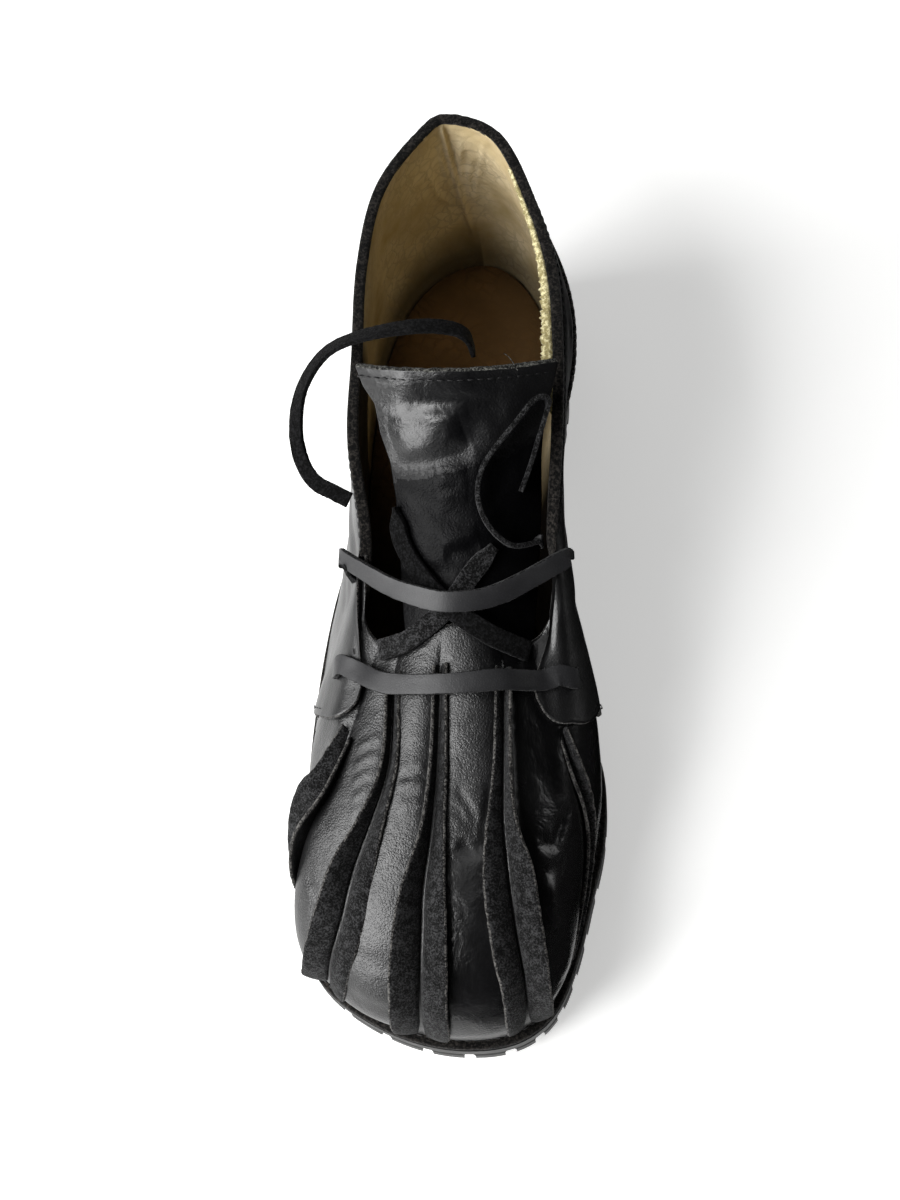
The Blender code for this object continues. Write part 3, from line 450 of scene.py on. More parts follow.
def meshFrom(name, points, faces, finishes=(), picks=None):
    mesh = bpy.data.meshes.new(name)
    mesh.from_pydata([tuple(map(float, p)) for p in points], [], faces)
    for finish in finishes:
        mesh.materials.append(finish)
    if picks is not None:
        mesh.polygons.foreach_set("material_index", picks)
    mesh.polygons.foreach_set("use_smooth", [True] * len(mesh.polygons))
    mesh.update()
    return mesh


def turnOutwards(mesh):
    shape = bmesh.new()
    shape.from_mesh(mesh)
    bmesh.ops.recalc_face_normals(shape, faces=shape.faces)
    shape.to_mesh(mesh)
    shape.free()
    return mesh


def addPiece(name, mesh, slot, *nodes):
    piece = bpy.data.objects.new(name, mesh)
    bpy.context.scene.collection.objects.link(piece)
    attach(piece, "root")
    if nodes:
        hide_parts(*nodes)
    return piece


def lumps(points, size, seed):
    # soft noise from -1 to 1 at each point, its lumps about that size across
    flat = np.asarray(points, float).reshape(-1, 3) / size + seed * 17.3
    return np.array([noise.noise(Vector(p)) for p in flat]).reshape(np.shape(points)[:-1])


def ripple(run, size, y, z):
    # soft noise along a run, its waves about that size long; y and z choose which noise
    return np.array([noise.noise(Vector((s / size, y, z))) for s in run])


def runAlong(path):
    # how far each point of a path lies from its start
    return np.concatenate([[0], np.cumsum(np.linalg.norm(np.diff(path, axis=0), axis=1))])


def thickSheet(name, outer, inner, roll, finishes, wrap=False, **layers):
    # a closed sheet between two grids of points, its cut edges rounded out by roll.
    # Materials: outer face, cut edge, inner face.
    n, m = outer.shape[:2]
    step = 1 if wrap else 0
    points = [outer.reshape(-1, 3), inner.reshape(-1, 3)]
    count = n * m
    faces, picks = [], []
    for i in range(n - 1 + step):
        k = (i + 1) % n
        for j in range(m - 1):
            a, b = i * m + j, k * m + j
            faces.append((a, b, b + 1, a + 1))
            picks.append(0)
            faces.append((count + a, count + a + 1, count + b + 1, count + b))
            picks.append(2)
    if wrap:
        loops = [[i * m for i in range(n)], [i * m + m - 1 for i in range(n)][::-1]]
    else:
        loops = [[i * m for i in range(n)] + [(n - 1) * m + j for j in range(1, m)]
                 + [i * m + m - 1 for i in range(n - 2, -1, -1)] + [j for j in range(m - 2, 0, -1)]]
    middle = (outer + inner) / 2
    total = 2 * count
    for loop in loops:
        rim = []
        for a in loop:
            i, j = divmod(a, m)
            way = np.zeros(3)
            if not wrap and i in (0, n - 1):
                way = way + unit(middle[i, j] - middle[1 if i == 0 else n - 2, j])
            if j in (0, m - 1):
                way = way + unit(middle[i, j] - middle[i, 1 if j == 0 else m - 2])
            rim.append(middle[i, j] + unit(way) * roll)
        points.append(np.array(rim))
        size = len(loop)
        for q in range(size):
            r = (q + 1) % size
            faces.append((loop[r], loop[q], total + q, total + r))
            faces.append((count + loop[q], count + loop[r], total + r, total + q))
            picks += [1, 1]
        total += size
    mesh = meshFrom(name, np.concatenate(points), faces, finishes, picks)
    for key, values in layers.items():
        both = np.zeros(total)
        both[:count] = both[count:2 * count] = values.reshape(-1)
        mesh.attributes.new(key, "FLOAT", "POINT").data.foreach_set("value", both)
    return turnOutwards(mesh)


def loftMesh(name, rings, finishes, picks=None):
    # a closed solid through rings of points; the ends are flat fans of quads
    rings = np.asarray(rings)
    n, m = rings.shape[:2]
    faces, chosen = [], []
    for r in range(n - 1):
        for i in range(m):
            j = (i + 1) % m
            faces.append((r * m + i, r * m + j, (r + 1) * m + j, (r + 1) * m + i))
            chosen.append(0 if picks is None else picks[i])
    for base in (0, (n - 1) * m):
        for i in range(m // 2 - 1):
            faces.append((base + i, base + i + 1, base + m - 2 - i, base + m - 1 - i))
            chosen.append(0)
    return turnOutwards(meshFrom(name, rings.reshape(-1, 3), faces, finishes, chosen))


def creased(points, creases):
    # how far the surface is pushed out by soft ridges (plus) and troughs (minus) that run along lines
    push = np.zeros(points.shape[:-1])
    for line, width, depth in creases:
        best = np.full(points.shape[:-1], np.inf)
        share = np.zeros(points.shape[:-1])
        for k, (a, b) in enumerate(zip(line[:-1], line[1:])):
            d = b - a
            t = np.clip(((points - a) @ d) / (d @ d), 0, 1)
            away = np.linalg.norm(points - a - t[..., None] * d, axis=-1)
            near = away < best
            best = np.where(near, away, best)
            share = np.where(near, (k + t) / (len(line) - 1), share)
        fade = np.clip(np.minimum(share, 1 - share) / 0.25, 0.0, 1.0)
        push += depth * np.exp(-(best / width) ** 2) * fade * (2 - fade)
    return push


# Laces: flat straps cut from the hide, smooth on one side and suede on the other
lace = {
    "width": 0.0066, "thick": 0.0015, "lift": 0.0018, "steps": 110, "cordRadius": 0.0011, "pinchReach": 0.004,
    "lateralWidth": 0.0050, "medialWidth": 0.0046, "medialStops": 44, "medialSteps": 150,
    "wobble": 0.06, "wobbleSize": 0.011, "fray": 0.00022, "fraySize": 0.0016,
}
# Half of a strap's section, as shares of half its width and half its thickness, and the finish of each side
strapHalf = [
    (-1.0, 0.30), (-0.985, 0.80), (-0.945, 0.97), (-0.90, 1.0), (-0.45, 1.02), (0.0, 1.03),
    (0.45, 1.02), (0.90, 1.0), (0.945, 0.97), (0.985, 0.80), (1.0, 0.30),
]
strapSection = strapHalf + [(a, -b) for a, b in strapHalf[::-1]]
strapSides = [1] * 2 + [0] * 6 + [1] * 5 + [2] * 6 + [1] * 3


def onUpper(turn, up, lift):
    # a place over the upper, and the way its face looks
    normal = upperNormals(turn, up)
    return upperPoints(turn, up) + normal * lift * lace["lift"], normal


def onTongue(up, across, lift):
    return tonguePoints(up, across, lift * lace["lift"]), tongueNormals(up, across)


def makeStrap(name, stops, finishes, slot, nodes, seed, ends=(1.0, 1.0), steps=None, wide=None):
    # finishes are for the upper side, the cut edges and the under side; ends is the width left at each end
    steps, wide = steps or lace["steps"], wide or lace["width"]
    knots, at = np.linspace(0, 1, len(stops)), np.linspace(0, 1, steps)
    path, face = (
        np.stack([curve(knots, [stop[part][k] for stop in stops], at) for k in range(3)], axis=-1)
        for part in (0, 1))
    tangent = unit(np.gradient(path, axis=0))
    normal = unit(face - tangent * (face * tangent).sum(-1, keepdims=True))
    side = np.cross(tangent, normal)
    along = runAlong(path)
    pinch = 1 - (1 - ends[0]) * np.exp(-(along / lace["pinchReach"]) ** 2)
    pinch = pinch - (1 - ends[1]) * np.exp(-((along[-1] - along) / lace["pinchReach"]) ** 2)
    width = wide / 2 * pinch * (1 + lace["wobble"] * ripple(along, lace["wobbleSize"], seed * 3.1, 0.0))
    thick = lace["thick"] / 2 * (1 + 0.5 * (1 - pinch))
    rings = []
    for k, (a, b) in enumerate(strapSection):
        fray = side * (ripple(along, lace["fraySize"], k * 5.7 + seed,
                              2.0) * lace["fray"] * np.sign(a))[:, None]
        rings.append(path + side * (width * a)[:, None] + normal * (thick * b)[:, None] + fray)
    mesh = loftMesh(name, np.stack(rings, axis=1), finishes, strapSides)
    return addPiece(name, mesh, slot, *nodes), path


holes = {"lateral": (0.336, 0.705), "medial": (0.665, 0.685)}  # where the lower bar ends, as turn and up
# The outer free end: shares of the length, of half the collar's width and of the back's height
lateralEnd = [
    (0.462, -1.115, 0.787), (0.454, -1.27, 0.797), (0.440, -1.48, 0.802), (0.413, -1.62, 0.819),
    (0.380, -1.66, 0.853), (0.347, -1.58, 0.905), (0.321, -1.34, 0.966), (0.314, -0.99, 1.017),
    (0.312, -0.46, 1.052), (0.309, -0.11, 1.034), (0.311, 0.08, 1.000), (0.314, 0.13, 0.931),
]
lateralFaces = [  # the way the strap's upper side looks at each place
    (-0.6, -0.2, 0.8), (-0.5, -0.2, 0.8), (-0.4, -0.3, 0.85), (-0.4, -0.3, 0.85), (-0.5, -0.2, 0.8),
    (-0.5, 0.1, 0.8), (-0.4, 0.2, 0.9), (-0.2, 0.3, 0.9), (0.1, 0.1, 1.0), (0.4, 0.1, 0.9), (0.8, 0.1, 0.6),
    (1.0, 0.1, 0.1),
]
medialEnd = [  # the inner free end, on the tongue: up, across, lift
    (0.405, 0.64, 2.4), (0.475, 0.36, 2.4), (0.560, 0.25, 2.2), (0.640, 0.305, 2.2), (0.700, 0.44, 2.2),
    (0.755, 0.585, 2.2), (0.811, 0.714, 2.3), (0.8668, 0.829, 2.4), (0.8783, 0.877, 2.45),
    (0.8766, 0.937, 2.5), (0.8647, 0.975, 2.6), (0.850, 0.987, 2.6), (0.790, 0.985, 2.7),
    (0.720, 0.945, 2.6), (0.640, 0.875, 2.4), (0.560, 0.76, 2.0),
]
# The medial end lies on its edge: this is the way its upper edge points
standing = unit(np.array([0.085, -0.39, 0.91]))


def makeLaces():
    l1, m1 = holes["lateral"], holes["medial"]
    both, dyed = (laceLeather, suede, suede), (laceSuede,) * 3
    lateral = [
        (toFrame(a * shoe["length"], x * shoe["collarWidth"] / 2, h * shoe["backHeight"]), unit(np.array(f)))
        for (a, x, h), f in zip(lateralEnd, lateralFaces)]
    piece, path = makeStrap(
        "laceEndLateral", lateral, dyed, "black_suede", ["lace_end_lateral"], 1, wide=lace["lateralWidth"])
    # the inner end starts on the inner side of the upper's wall
    inside = -(shoe["upperWall"] + shoe["gap"] + lace["cordRadius"]) / lace["thick"]
    medial = [onUpper(0.694, 0.985, inside)] + [onTongue(*row) for row in medialEnd]
    spots = np.array([spot for spot, _ in medial])
    run = runAlong(spots)
    even = np.linspace(0, run[-1], lace["medialStops"])
    spots = np.stack([curve(run, spots[:, k], even) for k in range(3)], axis=-1)
    ways = unit(np.gradient(spots, axis=0))
    turned = [medial[0][1] if k == 0 else np.cross(way, standing) for k, way in enumerate(ways)]
    piece, path = makeStrap(
        "laceEndMedial", list(zip(spots, turned)), both, "black_suede", ["lace_end_medial"], 2,
        steps=lace["medialSteps"], wide=lace["medialWidth"])
    lower = [
        onUpper(*l1, 1.0), onUpper(l1[0] + 0.007, l1[1] + 0.03, 1.9), onUpper(0.356, 0.82, 2.1),
        onUpper(0.386, 0.90, 2.7), onUpper(0.430, 0.900, 3.2), onUpper(0.490, 0.890, 3.3),
        onUpper(0.550, 0.900, 3.2), onUpper(0.598, 0.900, 2.7), onUpper(0.636, 0.82, 2.3),
        onUpper(m1[0] - 0.010, m1[1] + 0.04, 2.2), onUpper(*m1, 1.0),
    ]
    upper = [
        onUpper(0.3115, 0.850, 1.3), onUpper(0.3120, 0.900, 2.7), onUpper(0.3130, 0.955, 3.7),
        onTongue(0.29, -0.94, 6.2), onTongue(0.255, -0.55, 5.0), onTongue(0.235, -0.12, 5.0),
        onTongue(0.255, 0.50, 5.0), onUpper(0.682, 0.990, 2.7), onUpper(0.689, 0.955, 2.3),
        onUpper(0.695, 0.915, 1.3),
    ]
    makeStrap("laceBarLower", lower, both, "black_leather", ["lace_bar_lower"], 3, (0.8, 0.8))
    makeStrap("laceBarUpper", upper, both, "black_leather", ["lace_bar_upper"], 4, (0.7, 0.7))
    rising = [
        onUpper(0.404, 0.985, 1.4), onUpper(0.440, 0.995, 1.5), onTongue(0.215, -0.15, 2.5),
        onTongue(0.32, 0.16, 1.2), onTongue(0.40, 0.44, 1.1),
    ]
    falling = [
        onUpper(0.590, 0.975, 1.4), onUpper(0.548, 0.99, 1.6), onTongue(0.205, -0.08, 3.1),
        onTongue(0.30, -0.45, 1.5), onTongue(0.41, -0.70, 1.1), onTongue(0.52, -0.74, 1.1),
    ]
    makeStrap("laceCrossRising", rising, (suede,) * 3, "black_suede", ["lace_cross"], 5, (1.0, 0.5), 50)
    makeStrap("laceCrossFalling", falling, dyed, "black_suede", ["lace_cross"], 6, (1.0, 0.15), 60)


makeLaces()
print("laces made")

# The vamp: panels that swell between turned-out seams
seams = {  # up, turn of the stitched line, lean of the two flaps in degrees, width as a share
    1: [(0.04, 0.374, -60, 70, 0.28), (0.18, 0.370, -36, 78, 0.52), (0.34, 0.3715, -38, 66, 0.90),
        (0.48, 0.3775, -50, 50, 0.92), (0.62, 0.3885, -62, 32, 0.68), (0.76, 0.3935, -40, 20, 0.35)],
    2: [(0.03, 0.416, -68, 80, 0.76), (0.12, 0.4212, -62, 80, 0.78), (0.26, 0.4242, -60, 80, 0.80),
        (0.40, 0.4277, -46, 78, 0.78), (0.52, 0.429, -30, 76, 0.70), (0.62, 0.4332, -16, 60, 0.50),
        (0.72, 0.437, 0, 50, 0.36), (0.93, 0.4222, 14, 56, 0.30)],
    3: [(0.02, 0.4738, -74, 80, 0.74), (0.10, 0.4755, -62, 72, 0.82), (0.22, 0.476, -52, 64, 0.89),
        (0.40, 0.4764, -50, 56, 0.88), (0.52, 0.4761, -36, 50, 0.76), (0.63, 0.4795, -20, 42, 0.50),
        (0.75, 0.4811, -14, 38, 0.32), (0.93, 0.479, -8, 31, 0.28)],
    4: [(0.03, 0.5425, -84, 72, 0.62), (0.12, 0.5432, -82, 50, 0.70), (0.26, 0.543, -76, 30, 0.78),
        (0.42, 0.5398, -72, 42, 0.78), (0.54, 0.5394, -68, 38, 0.76), (0.64, 0.541, -62, 24, 0.50),
        (0.74, 0.5485, -56, 8, 0.34), (0.93, 0.564, -56, -4, 0.28)],
    5: [(0.04, 0.597, -50, 40, 0.24), (0.15, 0.621, -50, 30, 0.28), (0.28, 0.640, -50, 24, 0.30),
        (0.42, 0.643, -50, 20, 0.30), (0.56, 0.636, -54, 10, 0.32), (0.69, 0.628, -56, 10, 0.24)],
}
vamp = {
    "from": 0.270, "to": 0.730, "around": 300, "upward": 110, "wall": 0.0012, "roll": 0.0004, "fade": 0.10,
    "swell": 0.0016, "fullness": 0.7, "valley": 0.0010, "valleyWidth": 0.0028, "lump": 0.0003,
    "lumpSize": 0.014,
}


def seamTurn(number, up):
    rows = np.array(seams[number])
    return curve(rows[:, 0], rows[:, 1], np.clip(up, rows[0, 0], rows[-1, 0]))


def onLine(points):
    turns, ups = np.array(points, float).T
    return upperPoints(turns, ups)


vampCreases = [  # (turn, up), half width, height: wrinkles where the toes bend
    ([(0.4075, 0.750), (0.4183, 0.780), (0.4308, 0.790)], 0.0010, 0.00035),
    ([(0.4108, 0.715), (0.4208, 0.745), (0.4317, 0.755)], 0.0010, 0.00045),
    ([(0.4133, 0.685), (0.4225, 0.710), (0.4333, 0.720)], 0.0010, 0.00045),
    ([(0.4167, 0.650), (0.4242, 0.675), (0.4333, 0.690)], 0.0010, 0.00040),
    ([(0.4183, 0.620), (0.4250, 0.640), (0.4333, 0.655)], 0.0010, 0.00035),
    ([(0.4480, 0.735), (0.4600, 0.750), (0.4742, 0.735)], 0.0009, 0.00035),
    ([(0.4490, 0.718), (0.4633, 0.730), (0.4750, 0.718)], 0.0009, -0.00045),
    ([(0.4500, 0.702), (0.4642, 0.712), (0.4750, 0.702)], 0.0009, 0.00045),
    ([(0.4520, 0.688), (0.4650, 0.694), (0.4750, 0.686)], 0.0009, -0.00040),
    ([(0.4530, 0.665), (0.4660, 0.672), (0.4750, 0.664)], 0.0011, 0.00035),
    ([(0.4985, 0.705), (0.5033, 0.685), (0.5100, 0.655), (0.5150, 0.625)], 0.0014, -0.0005),
    ([(0.4950, 0.672), (0.5017, 0.650), (0.5075, 0.630), (0.5150, 0.605)], 0.0012, -0.0004),
    ([(0.5290, 0.705), (0.5283, 0.680), (0.5233, 0.640), (0.5165, 0.600)], 0.0014, -0.0006),
    ([(0.4990, 0.600), (0.5080, 0.585), (0.5190, 0.590), (0.5280, 0.615)], 0.0022, -0.0008),
    ([(0.5700, 0.560), (0.5900, 0.520), (0.6200, 0.530)], 0.0018, -0.0005),
    ([(0.5740, 0.480), (0.5792, 0.395), (0.5858, 0.265), (0.5810, 0.120)], 0.0050, 0.0010),
    ([(0.4000, 0.420), (0.4100, 0.400), (0.4180, 0.410)], 0.0014, -0.0004),
    ([(0.4330, 0.330), (0.4500, 0.315), (0.4700, 0.330)], 0.0030, -0.0005),
    ([(0.4330, 0.180), (0.4500, 0.165), (0.4700, 0.180)], 0.0030, -0.0005),
]


def vampRelief(turn, up, points):
    lines = [seamTurn(k, up) for k in range(1, 6)]
    push = np.zeros_like(turn)
    live = fadeIn(up, 0.0, vamp["fade"]) * fadeOut(up, 1.0, vamp["fade"])
    for left, right in zip(lines[:-1], lines[1:]):
        t = np.clip((turn - left) / np.maximum(right - left, 1e-6), 0, 1)
        push += vamp["swell"] * (4 * t * (1 - t)) ** vamp["fullness"] * live
    for number in range(1, 6):
        rows = np.array(seams[number])
        spine = onLine([(float(seamTurn(number, u)), u) for u in np.linspace(rows[0, 0], rows[-1, 0], 14)])
        push += creased(points, [(spine, vamp["valleyWidth"], -vamp["valley"])])
    push += creased(points, [(onLine(line), width, depth) for line, width, depth in vampCreases])
    push += vamp["lump"] * lumps(points, vamp["lumpSize"], 1) * live + sideBulge(turn, up)
    return push


def makeVamp():
    turns, ups = np.linspace(vamp["from"], vamp["to"], vamp["around"]), np.linspace(0, 1, vamp["upward"])
    turn, up = np.meshgrid(turns, ups, indexing="ij")
    points, normals = upperPoints(turn, up), upperNormals(turn, up)
    push = vampRelief(turn, up, points)
    outer = points + normals * push[..., None]
    inner = points + normals * (sideBulge(turn, up) - vamp["wall"])[..., None]
    # the middle panel and what lies past the fourth seam are rubbed smooth
    polish = fadeIn(turn, 0.472, 0.01) * fadeOut(up, 0.61, 0.04) * fadeIn(up, 0.14, 0.05)
    polish = np.maximum(polish, fadeIn(turn, 0.545, 0.008))
    mesh = thickSheet("vamp", outer, inner, vamp["roll"], (vampLeather, rawEdge, suede), polish=polish)
    return addPiece("vamp", mesh, "black_leather", "upper")


makeVamp()

flap = {
    "width": 0.0110, "wall": 0.0014, "steps": 110, "rows": 7, "curl": 0.55, "thinned": 0.86, "tip": 0.35,
    "seat": 0.0006, "apart": 0.0004, "wave": 0.10, "waveSize": 0.017, "sway": 8, "fray": 0.00025,
    "fraySize": 0.0018,
}


def flapRing(number, centre, across, normal, lean, side, share):
    # one flap's closed section at each step: flesh side, rounded tip, grain side
    run = runAlong(centre)
    wave = ripple(run, flap["waveSize"], number * 4.1 + side, 0.5)
    fine = ripple(run, flap["fraySize"], number * 2.3 + side, 3.5)
    width = flap["width"] * share * (1 + flap["wave"] * wave) + flap["fray"] * fine
    start = np.radians(lean * (1 - flap["curl"] * 0.5))
    finish = np.radians(lean * (1 + flap["curl"] * 0.4) + flap["sway"] * wave)
    place = centre + across * (side * flap["apart"])
    spots, thick = [], []
    for k in range(flap["rows"] + 1):
        angle = start + (finish - start) * (k / flap["rows"])
        way = across * np.sin(angle)[:, None] + normal * np.cos(angle)[:, None]
        if k:
            place = place + way * (width / flap["rows"])[:, None]
        spots.append(place)
        thick.append((across * np.cos(angle)[:, None] - normal * np.sin(angle)[:, None]) * side)
    # the flesh side looks up and inwards; the grain side lies under it
    flesh, thick = np.stack(spots, axis=1), np.stack(thick, axis=1)
    wall = flap["wall"] * np.linspace(1.0, flap["thinned"], flap["rows"] + 1)[None, :, None]
    grain = flesh + thick * wall
    tip = (flesh[:, -1] + grain[:, -1]) / 2 + unit(flesh[:, -1] - flesh[:, -2]) * flap["wall"] * flap["tip"]
    return np.concatenate([flesh, tip[:, None], grain[:, ::-1]], axis=1)


def makeFlaps(number):
    rows = np.array(seams[number])
    ups = np.linspace(rows[0, 0], rows[-1, 0], flap["steps"])
    turn, left, right, share = (curve(rows[:, 0], rows[:, k], ups) for k in (1, 2, 3, 4))
    centre, normal = upperPoints(turn, ups), upperNormals(turn, ups)
    centre = centre + normal * (flap["seat"] - vamp["valley"])
    across = upperPoints(turn + 0.004, ups) - upperPoints(turn - 0.004, ups)
    across = unit(across - normal * (across * normal).sum(-1, keepdims=True))
    solids, count, faces, picks = [], 0, [], []
    for lean, side in ((left, -1), (right, 1)):
        ring = flapRing(number, centre, across, normal, lean, side, share)
        m = ring.shape[1]
        for r in range(flap["steps"] - 1):
            low, high = count + r * m, count + (r + 1) * m
            for i in range(m):
                j = (i + 1) % m
                faces.append((low + i, low + j, high + j, high + i))
                picks.append(2 if i in (flap["rows"], flap["rows"] + 1) else 0 if i < flap["rows"] else 1)
        for first in (count, count + (flap["steps"] - 1) * m):
            for i in range(m // 2):
                a, b, c, d = first + i, first + i + 1, first + m - 2 - i, first + m - 1 - i
                faces.append((a, b, c, d) if b != c else (a, b, d))
                picks.append(0)
        solids.append(ring.reshape(-1, 3))
        count += len(solids[-1])
    points = np.concatenate(solids)
    mesh = turnOutwards(meshFrom("toeSeam%d" % number, points, faces, (suede, vampLeather, rawEdge), picks))
    return addPiece("toeSeam%d" % number, mesh, "black_suede", "toe_seam_%d" % number)


for number in seams:
    makeFlaps(number)
print("vamp made")

# Stitches: one bead for each, set along a row by a node group
stitch = {"pitch": 0.0031, "long": 0.0023, "thick": 0.00048, "seed": 4}


def stitchTree():
    tree = bpy.data.node_groups.new("stitchRow", "GeometryNodeTree")
    tree.is_modifier = True
    names = (
        ("Row", "NodeSocketGeometry"), ("Length", "NodeSocketFloat"), ("Thickness", "NodeSocketFloat"),
        ("Seed", "NodeSocketInt"), ("Thread", "NodeSocketMaterial"))
    for name, kind in names:
        tree.interface.new_socket(name, in_out="INPUT", socket_type=kind)
    tree.interface.new_socket("Stitches", in_out="OUTPUT", socket_type="NodeSocketGeometry")
    given = addNode(tree, "NodeGroupInput").outputs
    half = addNode(tree, "ShaderNodeCombineXYZ", {
        0: given["Length"], 1: given["Thickness"], 2: given["Thickness"]})
    bead = addNode(tree, "GeometryNodeMeshUVSphere", {"Segments": 10, "Rings": 7, "Radius": 0.5})
    shaped = addNode(tree, "GeometryNodeTransform", {
        "Geometry": bead.outputs["Mesh"], "Scale": half.outputs[0]})
    smooth = addNode(tree, "GeometryNodeSetShadeSmooth", {"Geometry": shaped.outputs[0]})
    along = addNode(tree, "GeometryNodeInputNamedAttribute", {"Name": "along"}, data_type="FLOAT_VECTOR")
    face = addNode(tree, "GeometryNodeInputNamedAttribute", {"Name": "face"}, data_type="FLOAT_VECTOR")
    way = addNode(
        tree, "FunctionNodeAxesToRotation",
        {"Primary Axis": face.outputs["Attribute"], "Secondary Axis": along.outputs["Attribute"]},
        primary_axis="Z", secondary_axis="X")
    uneven = addNode(
        tree, "FunctionNodeRandomValue",
        {0: (0.85, 0.85, 0.85), 1: (1.1, 1.15, 1.15), "Seed": given["Seed"]}, data_type="FLOAT_VECTOR")
    placed = addNode(tree, "GeometryNodeInstanceOnPoints", {
        "Points": given["Row"], "Instance": smooth.outputs[0], "Rotation": way.outputs[0],
        "Scale": uneven.outputs[0]})
    real = addNode(tree, "GeometryNodeRealizeInstances", {"Geometry": placed.outputs[0]})
    dyed = addNode(tree, "GeometryNodeSetMaterial", {
        "Geometry": real.outputs[0], "Material": given["Thread"]})
    addNode(tree, "NodeGroupOutput", {"Stitches": dyed.outputs[0]})
    return tree


rowTree = stitchTree()


def makeStitches(name, path, normals, slot, node, finish):
    # beads at an even pitch along a path that lies on a face
    run = runAlong(path)
    at = np.arange(stitch["pitch"] / 2, run[-1], stitch["pitch"])
    spots, faces = (np.stack([np.interp(at, run, part[:, k]) for k in range(3)],
                             axis=-1) for part in (path, normals))
    ways = unit(np.gradient(spots, axis=0))
    row = meshFrom(name, spots, [])
    for key, values in (("along", ways), ("face", unit(faces))):
        row.attributes.new(key, "FLOAT_VECTOR", "POINT").data.foreach_set("vector", values.reshape(-1))
    holder = bpy.data.objects.new(name + "Row", row)
    bpy.context.scene.collection.objects.link(holder)
    modifier = holder.modifiers.new("stitches", "NODES")
    modifier.node_group = rowTree
    sockets = {item.name: item.identifier for item in rowTree.interface.items_tree if item.in_out == "INPUT"}
    given = {"Length": stitch["long"], "Thickness": stitch["thick"], "Seed": stitch["seed"], "Thread": finish}
    for key, value in given.items():
        modifier[sockets[key]] = value
    holder.update_tag()
    graph = bpy.context.evaluated_depsgraph_get()
    mesh = bpy.data.meshes.new_from_object(holder.evaluated_get(graph))
    holder.modifiers.clear()
    bpy.data.objects.remove(holder)
    return addPiece(name, mesh, slot, node)


def offsetRow(points, normals, inward, lift):
    # a row beside an edge: moved sideways over the face by inward and off it by lift
    ways = unit(np.gradient(points, axis=0))
    return points + unit(np.cross(normals, ways)) * inward + normals * lift


# Quarters, counter, collar and lining
quarter = {
    "low": 0.0003, "wall": 0.0015, "around": 200, "upward": 90, "crowd": (0.9, 0.95), "backSeam": 0.0008,
    "roll": 0.0004, "flare": 0.0012, "skive": 0.72, "skiveFrom": 0.90, "lumps": (0.0004, 0.0001),
    "lumpSizes": (0.02, 0.005),
}
# Each quarter's front edge, as up and turn; the medial one is mirrored afterwards
frontEdge = {
    "lateral": [(0.00, 0.291), (0.20, 0.297), (0.405, 0.317), (0.54, 0.335), (0.63, 0.350), (0.70, 0.3635),
                (0.76, 0.377), (0.81, 0.387), (0.84, 0.3915), (0.87, 0.391), (0.895, 0.386), (0.92, 0.376),
                (0.945, 0.352), (0.97, 0.328), (1.00, 0.316)],
    "medial": [(0.00, 0.291), (0.20, 0.296), (0.44, 0.316), (0.67, 0.360), (0.755, 0.382), (0.82, 0.398),
               (0.86, 0.406), (0.88, 0.408), (0.90, 0.406), (0.93, 0.398), (0.950, 0.378), (0.97, 0.350),
               (1.00, 0.328)],
}
quarterCreases = [  # soft folds where the ankle bends, mirrored on the two sides
    ([(0.300, 0.78), (0.262, 0.70), (0.222, 0.68)], 0.0042, -0.0007),
    ([(0.305, 0.68), (0.270, 0.59), (0.230, 0.56), (0.200, 0.57)], 0.0045, -0.0008),
    ([(0.292, 0.56), (0.262, 0.48), (0.230, 0.45)], 0.0040, -0.0006),
    ([(0.302, 0.73), (0.266, 0.645), (0.228, 0.62)], 0.0040, 0.0006),
    ([(0.160, 0.86), (0.150, 0.74), (0.158, 0.62)], 0.0060, -0.0006),
    ([(0.100, 0.90), (0.094, 0.76), (0.100, 0.66)], 0.0050, -0.0005),
]


def quarterTurn(side, a, up):
    # a place on a quarter: a runs from the back seam, 0, to the front edge, 1
    rows = np.array(frontEdge[side])
    front = np.interp(up, rows[:, 0], rows[:, 1])
    turn = quarter["backSeam"] + (front - quarter["backSeam"]) * a
    return turn if side == "lateral" else 1 - turn


def makeQuarter(side, number):
    share = np.linspace(0, 1, quarter["around"]) ** quarter["crowd"][0]
    a, up = np.meshgrid(share, np.linspace(0, 1, quarter["upward"]) ** quarter["crowd"][1], indexing="ij")
    turn = quarterTurn(side, a, up)
    points, normals = upperPoints(turn, up), upperNormals(turn, up)
    flare = quarter["flare"] * fadeIn(a, 0.9, 0.1) ** 2 * fadeIn(up, 0.3, 0.3)
    bulge = sideBulge(turn, up)
    turned = [[(t if side == "lateral" else 1 - t, u) for t, u in line] for line, _, _ in quarterCreases]
    lines = [(onLine(line), width, depth) for line, (_, width, depth) in zip(turned, quarterCreases)]
    folds = creased(points, lines)
    broad, fine = (
        depth * lumps(points, size, seed + number)
        for depth, size, seed in zip(quarter["lumps"], quarter["lumpSizes"], (5, 8)))
    push = broad + fine + flare + bulge + folds
    low = points + normals * (quarter["low"] + flare + bulge)[..., None]
    skived = 1 - quarter["skive"] * fadeIn(up, quarter["skiveFrom"], 0.10)
    high = points + normals * (quarter["low"] + quarter["wall"] * skived + push)[..., None]
    name = "quarter" + side.capitalize()
    mesh = thickSheet(name, high, low, quarter["roll"], (quarterLeather, rawEdge, suede))
    return addPiece(name, mesh, "black_leather", "quarter_" + side)


makeQuarter("lateral", 1)
makeQuarter("medial", 2)

